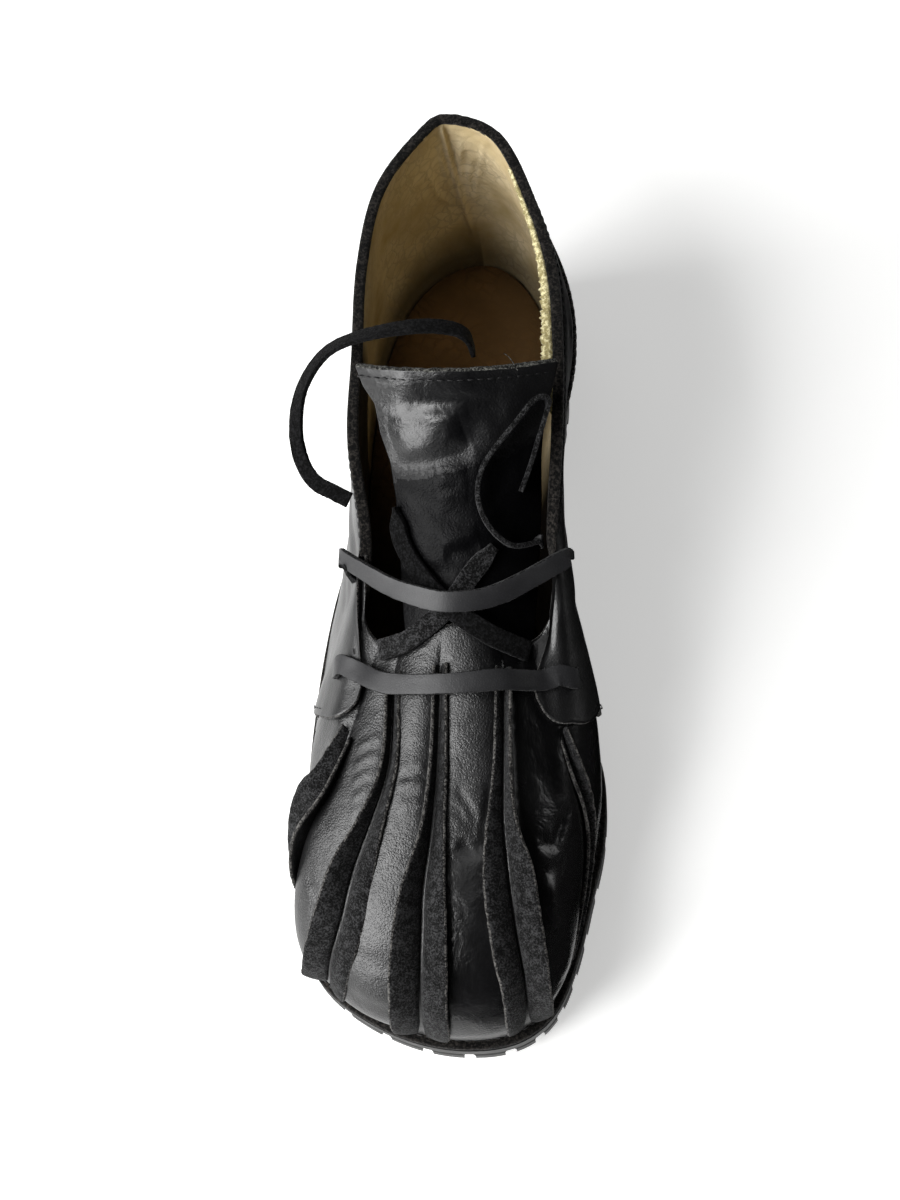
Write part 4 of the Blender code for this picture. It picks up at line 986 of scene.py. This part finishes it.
counter = {
    "reach": 0.182, "around": 160, "upward": 50, "least": 0.02, "outer": 0.0031, "inner": 0.0019,
    "roll": 0.0003,
    # its top edge, as turn and up
    "edge": [(0.182, 0.00), (0.178, 0.22), (0.162, 0.40), (0.122, 0.49), (0.060, 0.54), (0.000, 0.55)],
}


def counterTop(turn):
    rows = np.array(counter["edge"])[::-1]
    return np.interp(np.abs(turn), rows[:, 0], rows[:, 1])


def makeCounter():
    turn = np.linspace(-counter["reach"], counter["reach"], counter["around"])
    turns, share = np.meshgrid(turn, np.linspace(0, 1, counter["upward"]), indexing="ij")
    up = np.maximum(counterTop(turn)[:, None], counter["least"]) * share
    points, normals = upperPoints(turns, up), upperNormals(turns, up)
    outer = points + normals * counter["outer"]
    inner = points + normals * counter["inner"]
    mesh = thickSheet("heelCounter", outer, inner, counter["roll"], (quarterLeather, rawEdge, quarterLeather))
    return addPiece("heelCounter", mesh, "black_leather", "heel_counter")


makeCounter()


seamRows = {  # the rows of stitches: how far in from an edge, how far up the upper, how far over its face
    "front": (0.06, 0.93), "frontIn": 0.0021, "topline": (0.03, 0.30), "toplineUp": 0.955,
    "counter": 0.176, "counterIn": (0.0022, 0.0046), "counterOver": 0.0030,
    "rim": (0.33, 0.67), "rimUp": 0.035, "rimOver": 0.0006,
}


def stitchOverlays():
    for side, sign in (("lateral", 1), ("medial", -1)):
        ups = np.linspace(*seamRows["front"], 160)
        turns = quarterTurn(side, 1.0, ups)
        points, normals = upperPoints(turns, ups), upperNormals(turns, ups)
        lift = quarter["low"] + quarter["wall"] + 0.0001
        lift = lift + sideBulge(turns, ups)[:, None] + quarter["flare"] * 0.4
        row = offsetRow(points, normals, sign * seamRows["frontIn"], lift)
        makeStitches("stitchQuarter" + side.capitalize(), row, normals, "black_leather", "quarter_" + side,
                     thread)
        turns, up = np.linspace(*seamRows["topline"], 120) * sign, seamRows["toplineUp"]
        points, normals = upperPoints(turns, up), upperNormals(turns, up)
        row = points + normals * (quarter["low"] + quarter["wall"] * 0.62 + 0.0003)
        makeStitches("stitchTopline" + side.capitalize(), row, normals, "black_leather", "quarter_" + side,
                     thread)
    for step in seamRows["counterIn"]:
        turns = np.linspace(-seamRows["counter"], seamRows["counter"], 220)
        ups = counterTop(turns)
        points, normals = upperPoints(turns, ups), upperNormals(turns, ups)
        row = offsetRow(points, normals, -step, seamRows["counterOver"])
        makeStitches("stitchCounter%d" % round(step * 1e4), row, normals, "black_leather", "heel_counter",
                     thread)
    turns = np.linspace(*seamRows["rim"], 260)
    points, normals = upperPoints(turns, seamRows["rimUp"]), upperNormals(turns, seamRows["rimUp"])
    row = points + normals * seamRows["rimOver"]
    makeStitches("stitchToeRim", row, normals, "black_leather", "upper", thread)


stitchOverlays()


liningCreases = [  # the fan of folds that a heel has pressed in, as (turn, up), half width, height
    ([(0.013, 1.0), (0.009, 0.89), (0.008, 0.64), (0.007, 0.38), (0.005, 0.17)], 0.0011, -0.0009),
    ([(0.006, 1.0), (0.003, 0.89), (0.002, 0.64), (0.0, 0.38)], 0.0015, 0.0006),
    ([(-0.015, 0.915), (-0.003, 0.725), (0.004, 0.45)], 0.0010, -0.0007),
    ([(-0.024, 0.84), (-0.009, 0.64), (0.002, 0.40)], 0.0009, -0.0006),
    ([(-0.039, 0.96), (-0.020, 0.66), (-0.004, 0.42)], 0.0009, -0.0005),
    ([(0.055, 0.86), (0.038, 0.575), (0.022, 0.44)], 0.0012, -0.0005),
    ([(0.030, 0.90), (0.022, 0.70), (0.018, 0.50)], 0.0009, -0.0004),
]


liningShell = {
    "around": 420, "upward": 110, "outer": 0.0013, "inner": 0.0023, "roll": 0.0003, "creases": 1.4,
    "lump": 0.0004, "lumpSize": 0.012, "crackle": 0.00036, "crackleSize": 0.0026, "backReach": 0.07,
}
# Painted shade on the lining, for the outer and the inner side: the turn and the distance along the shoe
# where it starts, how dark it is low on the wall, and a patch of painted shadow on the outer wall
soiled = {"front": (0.200, 0.215), "deep": (0.074, 0.100), "low": (0.80, 0.60), "patch": 0.42,
          "patchAt": 0.20}


def paintedLiningShade(turn, up, points):
    # painted shade inside the shoe: dark in the gap beside the tongue, deep towards the toe, low on the walls
    # and on the outer wall
    outerSide = turn < 0.5
    front = fadeIn(0.5 - np.abs(turn - 0.5), np.where(outerSide, *soiled["front"]), 0.05)
    deep = fadeIn(shoe["originAlong"] - points[..., 1], np.where(outerSide, *soiled["deep"]), 0.020)
    low = np.where(outerSide, *soiled["low"]) * fadeOut(up, 0.32, 0.24)
    patch = soiled["patch"] * np.exp(-((turn - soiled["patchAt"]) / 0.13) ** 2)
    return np.maximum.reduce([front, deep, low, patch])


def makeLiningShell():
    turns = np.arange(liningShell["around"]) / liningShell["around"]
    turn, up = np.meshgrid(turns, np.linspace(0.0, 1, liningShell["upward"]), indexing="ij")
    points, normals = upperPoints(turn, up), upperNormals(turn, up)
    back = np.exp(-(np.minimum(turn, 1 - turn) / liningShell["backReach"]) ** 2) * fadeIn(up, 0.3, 0.3)
    push = liningShell["lump"] * lumps(points, liningShell["lumpSize"], 9)
    push = push + liningShell["crackle"] * lumps(points, liningShell["crackleSize"], 10) * back
    lines = [(onLine(line), width, depth) for line, width, depth in liningCreases]
    push -= liningShell["creases"] * creased(points, lines)
    outer = points - normals * liningShell["outer"]
    inner = points - normals * (liningShell["inner"] + push)[..., None]
    mesh = thickSheet("liningShell", outer, inner, liningShell["roll"], (lining, rimSuede, lining), wrap=True,
                      soil=paintedLiningShade(turn, up, points))
    return addPiece("liningShell", mesh, "tan_lining", "upper")


makeLiningShell()


collar = {  # the section is (out, rise) from the upper's top edge
    "from": -0.318, "to": 0.316, "around": 420, "fuzz": 0.0003, "fuzzSize": 0.0018,
    "section": [(-0.0024, -0.0004), (-0.0022, 0.0005), (-0.0014, 0.0009), (-0.0004, 0.0007), (0.0005, 0.0009),
                (0.0012, 0.0005), (0.0014, -0.0004), (-0.0004, -0.0010)],
}


def topline(turn):
    # points of the upper's top edge, its normals and the way up
    points, normals = upperPoints(turn, 1.0), upperNormals(turn, 1.0)
    return points, normals, unit(points - upperPoints(turn, 0.96))


def makeCollar():
    # the raw top edge of the quarters, lining and all
    turn = np.linspace(collar["from"], collar["to"], collar["around"])
    points, normals, rising = topline(turn)
    rings = []
    for k, (out, rise) in enumerate(collar["section"]):
        spot = points + normals * out + rising * rise
        rings.append(spot + rising * (collar["fuzz"] * lumps(spot, collar["fuzzSize"], 20 + k))[:, None])
    mesh = loftMesh("collarEdge", np.stack(rings, axis=1), (rimSuede,))
    return addPiece("collarEdge", mesh, "black_leather", "upper")


creamStrip = {  # the section is (share of the width, rise)
    "from": -0.232, "to": -0.075, "around": 400, "inset": 0.0021, "width": 0.0011, "extra": 0.0026,
    "torn": 0.30,
    "fuzz": 0.00025, "fuzzSize": 0.0014,
    "section": [(0.0, 0.0004), (0.3, 0.0007), (0.7, 0.0005), (1.0, -0.0003), (0.9, -0.0012), (0.4, -0.0014),
                (0.0, -0.0012)],
}


def makeCreamStrip():
    # the lining's raw edge turns out along the inner side of the big-toe side's rim
    turn = np.linspace(creamStrip["from"], creamStrip["to"], creamStrip["around"])
    t, steps = np.linspace(0, 1, len(turn)), np.arange(len(turn))
    points, normals, rising = topline(turn)
    torn = ripple(steps, 3.1, 0.0, 7.0) + 0.6 * ripple(steps, 9.0, 0.0, 3.0)
    width = creamStrip["width"] + creamStrip["extra"] * np.clip((1 - t) * 1.4, 0, 1)
    width = width * (1 + creamStrip["torn"] * torn) * np.clip(t / 0.03, 0.2, 1)
    rings = []
    for share, rise in creamStrip["section"]:
        spot = points - normals * (creamStrip["inset"] + width * share)[:, None] + rising * rise
        rings.append(spot + rising * (creamStrip["fuzz"] * lumps(spot, creamStrip["fuzzSize"], 40))[:, None])
    rings.append((rings[-1] + rings[0]) / 2)
    mesh = loftMesh("liningRawEdge", np.stack(rings, axis=1), (creamEdge,))
    return addPiece("liningRawEdge", mesh, "tan_lining", "upper")


makeCollar()
makeCreamStrip()
print("quarters made")

# The tongue
tongue = {
    "wall": 0.0020, "upward": 220, "across": 150, "roll": 0.0005, "lump": 0.0005, "lumpSize": 0.012,
    "shadeBelow": 0.672, "shadeSlant": 0.055, "shadeStep": 0.018, "ragged": (0.028, 0.018),
    "raggedSizes": (0.011, 0.0012),
    "leftEdge": [(0.0, 0.80), (0.56, 0.73), (0.65, 0.74), (0.75, 0.82), (0.86, 0.85), (0.925, 0.95),
                 (1.0, 1.0)],
}
tongueCreases = [  # (up, across), half width, height
    ([(0.790, -0.70), (0.815, -0.34), (0.835, 0.15)], 0.0026, 0.0006),
    ([(0.735, -0.70), (0.765, -0.33), (0.800, 0.05)], 0.0030, 0.0007),
    ([(0.680, -0.65), (0.720, -0.24), (0.755, 0.10)], 0.0034, 0.0009),
    ([(0.640, -0.70), (0.670, -0.20), (0.700, 0.20)], 0.0034, -0.0009),
    ([(0.625, -0.22), (0.640, -0.05), (0.630, 0.12)], 0.0019, 0.0004),
    ([(0.590, -0.26), (0.600, -0.06), (0.590, 0.14)], 0.0019, 0.0004),
    ([(0.545, -0.24), (0.560, -0.04), (0.555, 0.13)], 0.0019, 0.0004),
    ([(0.580, -0.60), (0.540, -0.39), (0.500, -0.22), (0.475, 0.20)], 0.0026, -0.0006),
    ([(0.410, -0.24), (0.425, -0.02), (0.445, 0.25)], 0.0026, 0.0007),
    ([(0.375, -0.20), (0.385, 0.02), (0.400, 0.26)], 0.0026, -0.0007),
    ([(0.870, -0.60), (0.880, -0.21), (0.870, 0.25), (0.840, 0.56)], 0.0034, -0.0006),
    ([(0.30, -0.50), (0.34, -0.05), (0.31, 0.45)], 0.0030, -0.0006),
    ([(0.50, 0.30), (0.56, 0.50), (0.66, 0.62)], 0.0028, -0.0005),
    ([(0.60, 0.20), (0.70, 0.35), (0.80, 0.40)], 0.0034, 0.0005),
]


def makeTongue():
    ups, shares = np.linspace(0, 1, tongue["upward"]), np.linspace(-1, 1, tongue["across"])
    up, across = np.meshgrid(ups, shares, indexing="ij")
    left = np.interp(up, *np.array(tongue["leftEdge"]).T)
    across = np.where(across < 0, across * left, across)
    points, normals = tonguePoints(up, across), tongueNormals(up, across)
    lines = [(np.array([tonguePoints(u, a) for u, a in line]), width, depth)
             for line, width, depth in tongueCreases]
    push = creased(points, lines) + tongue["lump"] * lumps(points, tongue["lumpSize"], 30)
    outer = points + normals * push[..., None]
    inner = points - normals * tongue["wall"]
    polish = fadeIn(up, 0.66, 0.1) * fadeOut(across, 0.45, 0.3)
    finishes = (tongueLeather, rawEdge, suede, *shadedTongueLeathers)
    mesh = thickSheet("tongueFlap", outer, inner, tongue["roll"], finishes, polish=polish)
    # painted shade: under the fold the tongue takes the darker, duller copies, in steps with a ragged border
    broad, fine = (
        depth * lumps(points, size, seed)
        for depth, size, seed in zip(tongue["ragged"], tongue["raggedSizes"], (61, 62)))
    border = tongue["shadeBelow"] + tongue["shadeSlant"] * across + (broad + fine)
    shadeSteps = np.ceil((border - up) / tongue["shadeStep"]).clip(0, len(shadedTongueLeathers))[:-1, :-1].reshape(-1)
    picks = np.empty(len(mesh.polygons), np.int32)
    mesh.polygons.foreach_get("material_index", picks)
    picks[:2 * len(shadeSteps):2] = np.where(shadeSteps > 0, shadeSteps + 2, 0)
    mesh.polygons.foreach_set("material_index", picks)
    return addPiece("tongueFlap", mesh, "black_leather", "tongue")


tongueTrim = {
    "reach": 0.995, "around": 150, "sides": 10, "inset": 0.0010, "halfWidth": 0.00115, "halfHeight": 0.0007,
    "fuzz": 0.0003, "fuzzSize": 0.0016, "stitchUp": 0.965, "stitchOver": 0.0004,
}
threadEnd = {  # one loose end of thread at the tongue's top
    "across": 0.60, "over": 0.0004, "way": (-0.0030, 0.0034, 0.0016), "arch": 0.0012, "radius": 0.00016,
    "steps": 12, "sides": 6,
}


def dressTongue():
    across = np.linspace(-tongueTrim["reach"], tongueTrim["reach"], tongueTrim["around"])
    points, normals = tonguePoints(1.0, across), tongueNormals(1.0, across)
    rising = unit(tonguePoints(1.0, across) - tonguePoints(0.97, across))
    rings = []
    for k in range(tongueTrim["sides"]):
        angle = 2 * math.pi * k / tongueTrim["sides"]
        out, rise = tongueTrim["halfWidth"] * math.cos(angle), tongueTrim["halfHeight"] * math.sin(angle)
        spot = points - normals * tongueTrim["inset"] + normals * out + rising * rise
        fuzz = tongueTrim["fuzz"] * lumps(spot, tongueTrim["fuzzSize"], 50 + k)
        rings.append(spot + rising * fuzz[:, None])
    addPiece("tongueRawEdge", loftMesh("tongueRawEdge", np.stack(rings, axis=1), (paleEdge,)),
             "black_leather", "tongue")
    up = tongueTrim["stitchUp"]
    points, normals = tonguePoints(up, across), tongueNormals(up, across)
    row = points + normals * tongueTrim["stitchOver"]
    makeStitches("stitchTongue", row, normals, "black_leather", "tongue", thread)


def makeThreadEnd():
    start, normal = tonguePoints(1.0, threadEnd["across"]), tongueNormals(1.0, threadEnd["across"])
    sway, arch = np.array(threadEnd["way"]), np.array([0.0, 0.0, threadEnd["arch"]])
    path = [start + normal * threadEnd["over"] * a + sway * a + arch * math.sin(3 * a)
            for a in np.linspace(-0.2, 1.2, threadEnd["steps"])]
    angles = np.arange(threadEnd["sides"]) * math.pi / 3
    ring = [np.array([math.cos(t), 0, math.sin(t)]) * threadEnd["radius"] for t in angles]
    rings = [[p + spot for spot in ring] for p in path]
    addPiece("threadEnd", loftMesh("threadEnd", np.array(rings), (paleEdge,)), "black_leather", "tongue")


makeTongue()
dressTongue()
makeThreadEnd()
print("tongue made")


# Welt and insole

def slabMesh(name, rings, finishes):
    # a closed solid through rings that have the sole's outline; strips of faces close both ends
    grid = np.stack(rings, axis=1)
    n, m = grid.shape[:2]
    faces = [(i * m + j, (i + 1) % n * m + j, (i + 1) % n * m + j + 1, i * m + j + 1)
             for i in range(n) for j in range(m - 1)]
    half = n // 2
    for j in (0, m - 1):
        faces.append((m + j, j, (n - 1) * m + j))
        for i in range(1, half - 1):
            faces.append(((i + 1) * m + j, i * m + j, (n - i) * m + j, (n - i - 1) * m + j))
        faces.append((half * m + j, (half - 1) * m + j, (half + 1) * m + j))
    return turnOutwards(meshFrom(name, grid.reshape(-1, 3), faces, finishes))


layer = {"around": 360, "flat": 0.012, "roll": 0.0006, "insoleWider": 0.0013, "soilFrom": 0.058,
         "soilOver": 0.075}


def weltLow(along):
    return seatHeight(along) + shoe["gap"]


def insoleLow(along):
    return weltTop(along) + shoe["gap"]


def insoleTop(along):
    return weltTop(along) + shoe["gap"] + shoe["insole"]


def plate(name, inset, low, high, finish, slot, node):
    turn = np.arange(layer["around"]) / layer["around"]
    rings = []
    for further, level in ((layer["flat"], high), (layer["roll"], high), (0.0, None), (layer["roll"], low),
                           (layer["flat"], low)):
        along, aside = insetOutline(turn, inset + further)
        height = (low(along) + high(along)) / 2 if level is None else level(along)
        rings.append(toFrame(along, aside, height))
    mesh = slabMesh(name, rings, (finish,))
    # painted shade: the sock darkens from the instep towards the toe, deep inside the shoe
    soil = [min(max((shoe["originAlong"] - point.co.y - layer["soilFrom"]) / layer["soilOver"], 0.0), 0.95)
            for point in mesh.vertices]
    mesh.attributes.new("soil", "FLOAT", "POINT").data.foreach_set("value", soil)
    return addPiece(name, mesh, slot, node)


insoleInset = shoe["weltMargin"] + shoe["upperWall"] + shoe["insoleClearance"] - layer["insoleWider"]
plate("weltStrip", 0.0, weltLow, weltTop, rimSuede, "black_leather", "welt")
plate("insoleSock", insoleInset, insoleLow, insoleTop, sockLeather, "tan_lining", "insole")


# The outsole: lugs cut by a fan of waisted grooves, two recesses with studs, a smooth arch
tread = {
    "lug": 0.0050, "outerWidth": 0.0034, "bulbWidth": 0.0058, "innerWidth": 0.0026, "chamfer": 0.0006,
    "bulbAt": 0.42, "bulbReach": 0.62, "breast": 0.292, "start": 0.512, "waist": 0.0085,
    "studSpan": 0.0127, "studArm": 0.0046, "around": 300, "under": 0.002, "sunk": 0.001,
}
rib = {"length": 0.0145, "width": 0.0007, "way": (0.90, 0.44), "height": 0.0026}
recesses = {  # along, aside, half length, half width, skew, squareness
    "fore": (0.690, -0.100, 0.165, 0.170, 0.11, 1.7), "heel": (0.206, -0.050, 0.071, 0.064, 0.0, 3.0),
}
fans = {  # how many grooves, from where to where round the sole's outline and round the recess
    "fore": (21, (0.262, 0.738), (-0.43, 0.43)), "heel": (13, (0.178, -0.178), (-0.06, -0.94)),
}
studs = [
    (0.551, -0.180), (0.613, -0.088), (0.667, -0.183), (0.697, -0.033), (0.754, -0.103), (0.815, -0.020),
    (0.208, -0.050),
]
# The sole's side above its chamfer: inset and share of the height, with one shallow groove
soleSide = [(0.0, 0.35), (0.0003, 0.42), (0.0003, 0.50), (0.0, 0.57), (0.0, 1.0)]


def stack(rings):
    # a closed solid through rings of points, with flat ends
    shape = bmesh.new()
    loops = [[shape.verts.new(tuple(map(float, p))) for p in ring] for ring in rings]
    for low, high in zip(loops[:-1], loops[1:]):
        for i in range(len(low)):
            j = (i + 1) % len(low)
            shape.faces.new((low[i], low[j], high[j], high[i]))
    shape.faces.new(loops[0])
    shape.faces.new(loops[-1])
    bmesh.ops.recalc_face_normals(shape, faces=shape.faces)
    mesh = bpy.data.meshes.new("carver")
    shape.to_mesh(mesh)
    shape.free()
    return bpy.data.objects.new("carver", mesh)


def flatRing(corners, height):
    return [(x, y, height) for x, y in corners]


def mouthed(outlineAt):
    # a cutter up to a groove's floor, its mouth a little wider and its floor a little narrower
    c, lug = tread["chamfer"], tread["lug"]
    levels = ((-tread["under"], c), (0.0, c), (c, 0.0), (lug - c, 0.0), (lug, -c))
    return stack([flatRing(outlineAt(grow), height) for height, grow in levels])


def grooveCutter(start, end):
    way = Vector((end[0] - start[0], end[1] - start[1]))
    turned = Matrix.Rotation(math.atan2(way.y, way.x), 2)
    middle, reach = tread["bulbAt"] * way.length, tread["bulbWidth"] * tread["bulbReach"]
    inner, bulb, outer = (tread[key] / 2 for key in ("innerWidth", "bulbWidth", "outerWidth"))
    half = [  # how far along the groove, half its width there
        (-0.003, inner), (middle - reach, inner * 1.1), (middle - 0.35 * reach, bulb * 0.93), (middle, bulb),
        (middle + 0.35 * reach, bulb * 0.93), (middle + reach, outer), (way.length + 0.004, outer * 1.1),
    ]

    def outlineAt(grow):
        corners = [(x, w + grow) for x, w in half]
        placed = [turned @ Vector(c) for c in corners + [(x, -w) for x, w in corners[::-1]]]
        return [(start[0] + c.x, start[1] + c.y) for c in placed]

    return mouthed(outlineAt)


def recessOutline(name, turn, grow=0.0):
    # a rounded, leaning oval
    along, aside, halfLength, halfWidth, skew, power = recesses[name]
    angle = 2 * math.pi * np.asarray(turn, float)
    c, s = np.cos(angle), np.sin(angle)
    u = (halfLength * shoe["length"] + grow) * np.sign(c) * np.abs(c) ** (2 / power)
    x = (halfWidth * shoe["ballWidth"] + grow) * np.sign(s) * np.abs(s) ** (2 / power)
    return along * shoe["length"] + u, aside * shoe["ballWidth"] + x + skew * u


def fanOf(name):
    count, outer, inner = fans[name]
    made = []
    for share in np.linspace(0, 1, count):
        end = outline(outer[0] + (outer[1] - outer[0]) * share)
        start = recessOutline(name, inner[0] + (inner[1] - inner[0]) * share)
        made.append(grooveCutter(toFrame(*start, 0.0)[:2], toFrame(*end, 0.0)[:2]))
    return made


def archCutter():
    # what is missing under the waist, from the heel's breast to the first forefoot lug
    breast, front = tread["breast"] * shoe["length"], tread["start"] * shoe["length"]
    arch = np.linspace(breast, front, 30)
    top = seatHeight(arch) - treadHeight(arch) - tread["waist"]
    top += (tread["lug"] - top) * fadeIn(arch, breast, front - breast) ** 3
    side = [(breast, -0.004), *zip(arch, top), (front, -0.004)]
    return stack([[toFrame(a, x, h) for a, h in side] for x in (-0.11, 0.11)])


def studSolid(along, aside):
    x, y = toFrame(along * shoe["length"], aside * shoe["ballWidth"], 0.0)[:2]

    def outlineAt(shrink):
        arm, half = tread["studSpan"] / 2 - shrink, tread["studArm"] / 2 - shrink
        corner = [(arm, half), (half, half), (half, arm), (-half, arm), (-half, half), (-arm, half)]
        corners = corner + [(-a, -b) for a, b in corner]
        return [(x + (a - b) * math.sqrt(0.5), y + (a + b) * math.sqrt(0.5)) for a, b in corners]

    levels = ((0.0, tread["chamfer"]), (tread["chamfer"], 0.0), (tread["lug"] + tread["sunk"], 0.0))
    return stack([flatRing(outlineAt(shrink), height) for height, shrink in levels])


def ribSolid(first, second):
    # a thin rib that crosses the recess aslant between two studs
    ends = [toFrame(a * shoe["length"], b * shoe["ballWidth"], 0.0) for a, b in (first, second)]
    x, y = [(a + b) / 2 for a, b in zip(*ends)][:2]
    long, wide = rib["length"], rib["width"]
    way = Vector(rib["way"])
    across = Vector((-way.y, way.x))
    corners = [(x + way.x * a * long + across.x * b * wide, y + way.y * a * long + across.y * b * wide)
               for a, b in ((1, 1), (-1, 1), (-1, -1), (1, -1))]
    return stack([flatRing(corners, tread["lug"] - rib["height"]),
                  flatRing(corners, tread["lug"] + tread["sunk"])])


def carve(mesh, operation, tools):
    # one exact boolean with all the tools, which are then thrown away
    body = bpy.data.objects.new("carved", mesh)
    bpy.context.scene.collection.objects.link(body)
    box = bpy.data.collections.new("carvers")
    bpy.context.scene.collection.children.link(box)
    for tool in tools:
        box.objects.link(tool)
    modifier = body.modifiers.new("carve", "BOOLEAN")
    modifier.operation, modifier.solver = operation, "EXACT"
    modifier.operand_type, modifier.collection = "COLLECTION", box
    graph = bpy.context.evaluated_depsgraph_get()
    carved = bpy.data.meshes.new_from_object(body.evaluated_get(graph))
    for tool in tools:
        bpy.data.objects.remove(tool)
    bpy.data.objects.remove(body)
    bpy.data.collections.remove(box)
    return carved


def recessCutter(name):
    def outlineAt(grow):
        return [tuple(p[:2]) for p in toFrame(*recessOutline(name, np.arange(60) / 60, grow), 0.0)]

    return mouthed(outlineAt)


def finishOf(face):
    # the tread's worn flats, the dusty arch and recess floors, and plain rubber for the rest
    along = (shoe["originAlong"] - face.center.y) / shoe["length"]
    if face.normal.z < -0.9 and face.center.z < 0.0003:
        return 1
    if face.normal.z < -0.4 and tread["breast"] < along < tread["start"]:
        return 2
    inRecess = min(abs(along - row[0]) / row[2] for row in recesses.values()) < 1
    atFloor = abs(face.center.z - tread["lug"]) < 0.0002 and len(face.vertices) > 20
    return 2 if face.normal.z < -0.9 and inRecess and atFloor else 0


def makeOutsole():
    turn = np.arange(tread["around"]) / tread["around"]
    c = tread["chamfer"]
    rings = []
    for inset, level in [(c, 0.0), (0.0, c)]:
        along, aside = insetOutline(turn, inset)
        rings.append(toFrame(along, aside, level))
    for inset, share in soleSide:
        along, aside = insetOutline(turn, inset)
        top = seatHeight(along) - treadHeight(along)
        rings.append(toFrame(along, aside, c + (top - c) * share))
    mesh = slabMesh("outsole", rings, (rubber, treadRubber, dustyRubber))
    cutters = [archCutter()] + [recessCutter(name) for name in recesses] + fanOf("fore") + fanOf("heel")
    mesh = carve(mesh, "DIFFERENCE", cutters)
    raised = [studSolid(*place) for place in studs] + [ribSolid(*pair) for pair in zip(studs[:5], studs[1:6])]
    mesh = carve(mesh, "UNION", raised)
    mesh.name = "outsole"
    for face in mesh.polygons:
        face.material_index = finishOf(face)
        face.use_smooth = False
    # the toe spring lifts the finished tread
    for vertex in mesh.vertices:
        vertex.co.z += float(treadHeight(shoe["originAlong"] - vertex.co.y))
    shape = bmesh.new()
    shape.from_mesh(mesh)
    bmesh.ops.triangulate(shape, faces=shape.faces)
    shape.to_mesh(mesh)
    shape.free()
    return addPiece("outsoleUnit", mesh, "black_rubber", "outsole")


makeOutsole()
print("sole made")

# Studio
studio = {
    "floor": "#fbfbfa", "floorLevel": -0.0004, "glow": 0.50, "leftSky": 1.6, "rightSky": 0.02, "wall": 17.0,
    "cloth": ((0.055, -0.10), (-0.16, -1.2), (1.5, -1.2), (1.5, 1.2), (0.055, 1.2)), "clothLevel": -0.0002,
    # name: place, aim, width, height, power
    "lamps": [
        ("keyLeft", (-1.10, -0.80, 0.58), (0, 0, 0.05), 0.6, 0.6, 12.0),
        ("sideSoft", (-0.98, -0.22, 0.98), (0, 0, 0.05), 0.5, 0.9, 13.0),
        ("windowHigh", (-0.68, -0.68, 1.15), (0, 0.03, 0.05), 0.45, 0.45, 9.0),
        ("topSoft", (-0.10, 0.05, 1.60), (0, 0, 0.05), 0.7, 1.0, 2.0),
        ("innerFill", (1.15, 0.40, 0.22), (0, 0, 0.05), 0.6, 0.25, 1.1),
        ("toeStrip", (-0.05, -1.10, 0.22), (0, -0.1, 0.03), 0.7, 0.16, 0.15),
    ],
}


def makeFloor():
    corners = [(x, y, studio["floorLevel"]) for x, y in ((-3, -3), (3, -3), (3, 3), (-3, 3))]
    floor = bpy.data.objects.new("studioFloor", meshFrom("studioFloor", corners, [(0, 1, 2, 3)]))
    # White paper lit from all round: it glows a little, so that only a faint shadow is left
    paint = newMaterial(
        "palePaper", Base_Color=hexColour(studio["floor"]), Roughness=0.9,
        Emission_Color=hexColour(studio["floor"]), Emission_Strength=studio["glow"])[0]
    floor.data.materials.append(paint)
    bpy.context.scene.collection.objects.link(floor)


def makeFlag():
    # a black cloth laid on the big-toe side: only mirrored, never seen
    corners = [(x, y, studio["clothLevel"]) for x, y in studio["cloth"]]
    flag = bpy.data.objects.new("studioFlag", meshFrom("studioFlag", corners, [(0, 1, 2, 3, 4)]))
    # Black felt: it takes the light out of the reflections on that side
    felt = newMaterial("blackFelt", Base_Color=hexColour("#0a0a0a"), Roughness=1.0)[0]
    flag.data.materials.append(felt)
    bpy.context.scene.collection.objects.link(flag)
    flag.visible_camera = flag.visible_diffuse = flag.visible_shadow = False


def makeSky():
    # a pale wall at the shoe's outer side and a dark room at its inner side
    world = bpy.data.worlds.new("softDaylight")
    world.use_nodes = True
    tree = world.node_tree
    way = addNode(tree, "ShaderNodeTexCoord").outputs["Generated"]
    side = addNode(tree, "ShaderNodeSeparateXYZ", {0: way})
    level = remap(
        tree, side.outputs["X"], -0.5, 0.0, studio["leftSky"], studio["rightSky"], kind="SMOOTHSTEP")
    # the wall behind the floor is always pale
    seen = addNode(tree, "ShaderNodeLightPath").outputs["Is Camera Ray"]
    wall = addNode(tree, "ShaderNodeMix", {0: seen, 2: level, 3: studio["wall"]})
    tree.links.new(wall.outputs[0], tree.nodes["Background"].inputs["Strength"])
    bpy.context.scene.world = world


def makeLamps():
    for name, place, aim, width, height, power in studio["lamps"]:
        lamp = bpy.data.lights.new(name, "AREA")
        lamp.shape = "RECTANGLE"
        lamp.size, lamp.size_y, lamp.energy = width, height, power
        made = bpy.data.objects.new(name, lamp)
        way = Vector(place) - Vector(aim)
        made.matrix_world = Matrix.Translation(place) @ way.to_track_quat("Z", "Y").to_matrix().to_4x4()
        bpy.context.scene.collection.objects.link(made)


makeFloor()
makeFlag()
makeSky()
makeLamps()
bpy.context.scene.view_settings.view_transform = "Standard"
print("studio made")
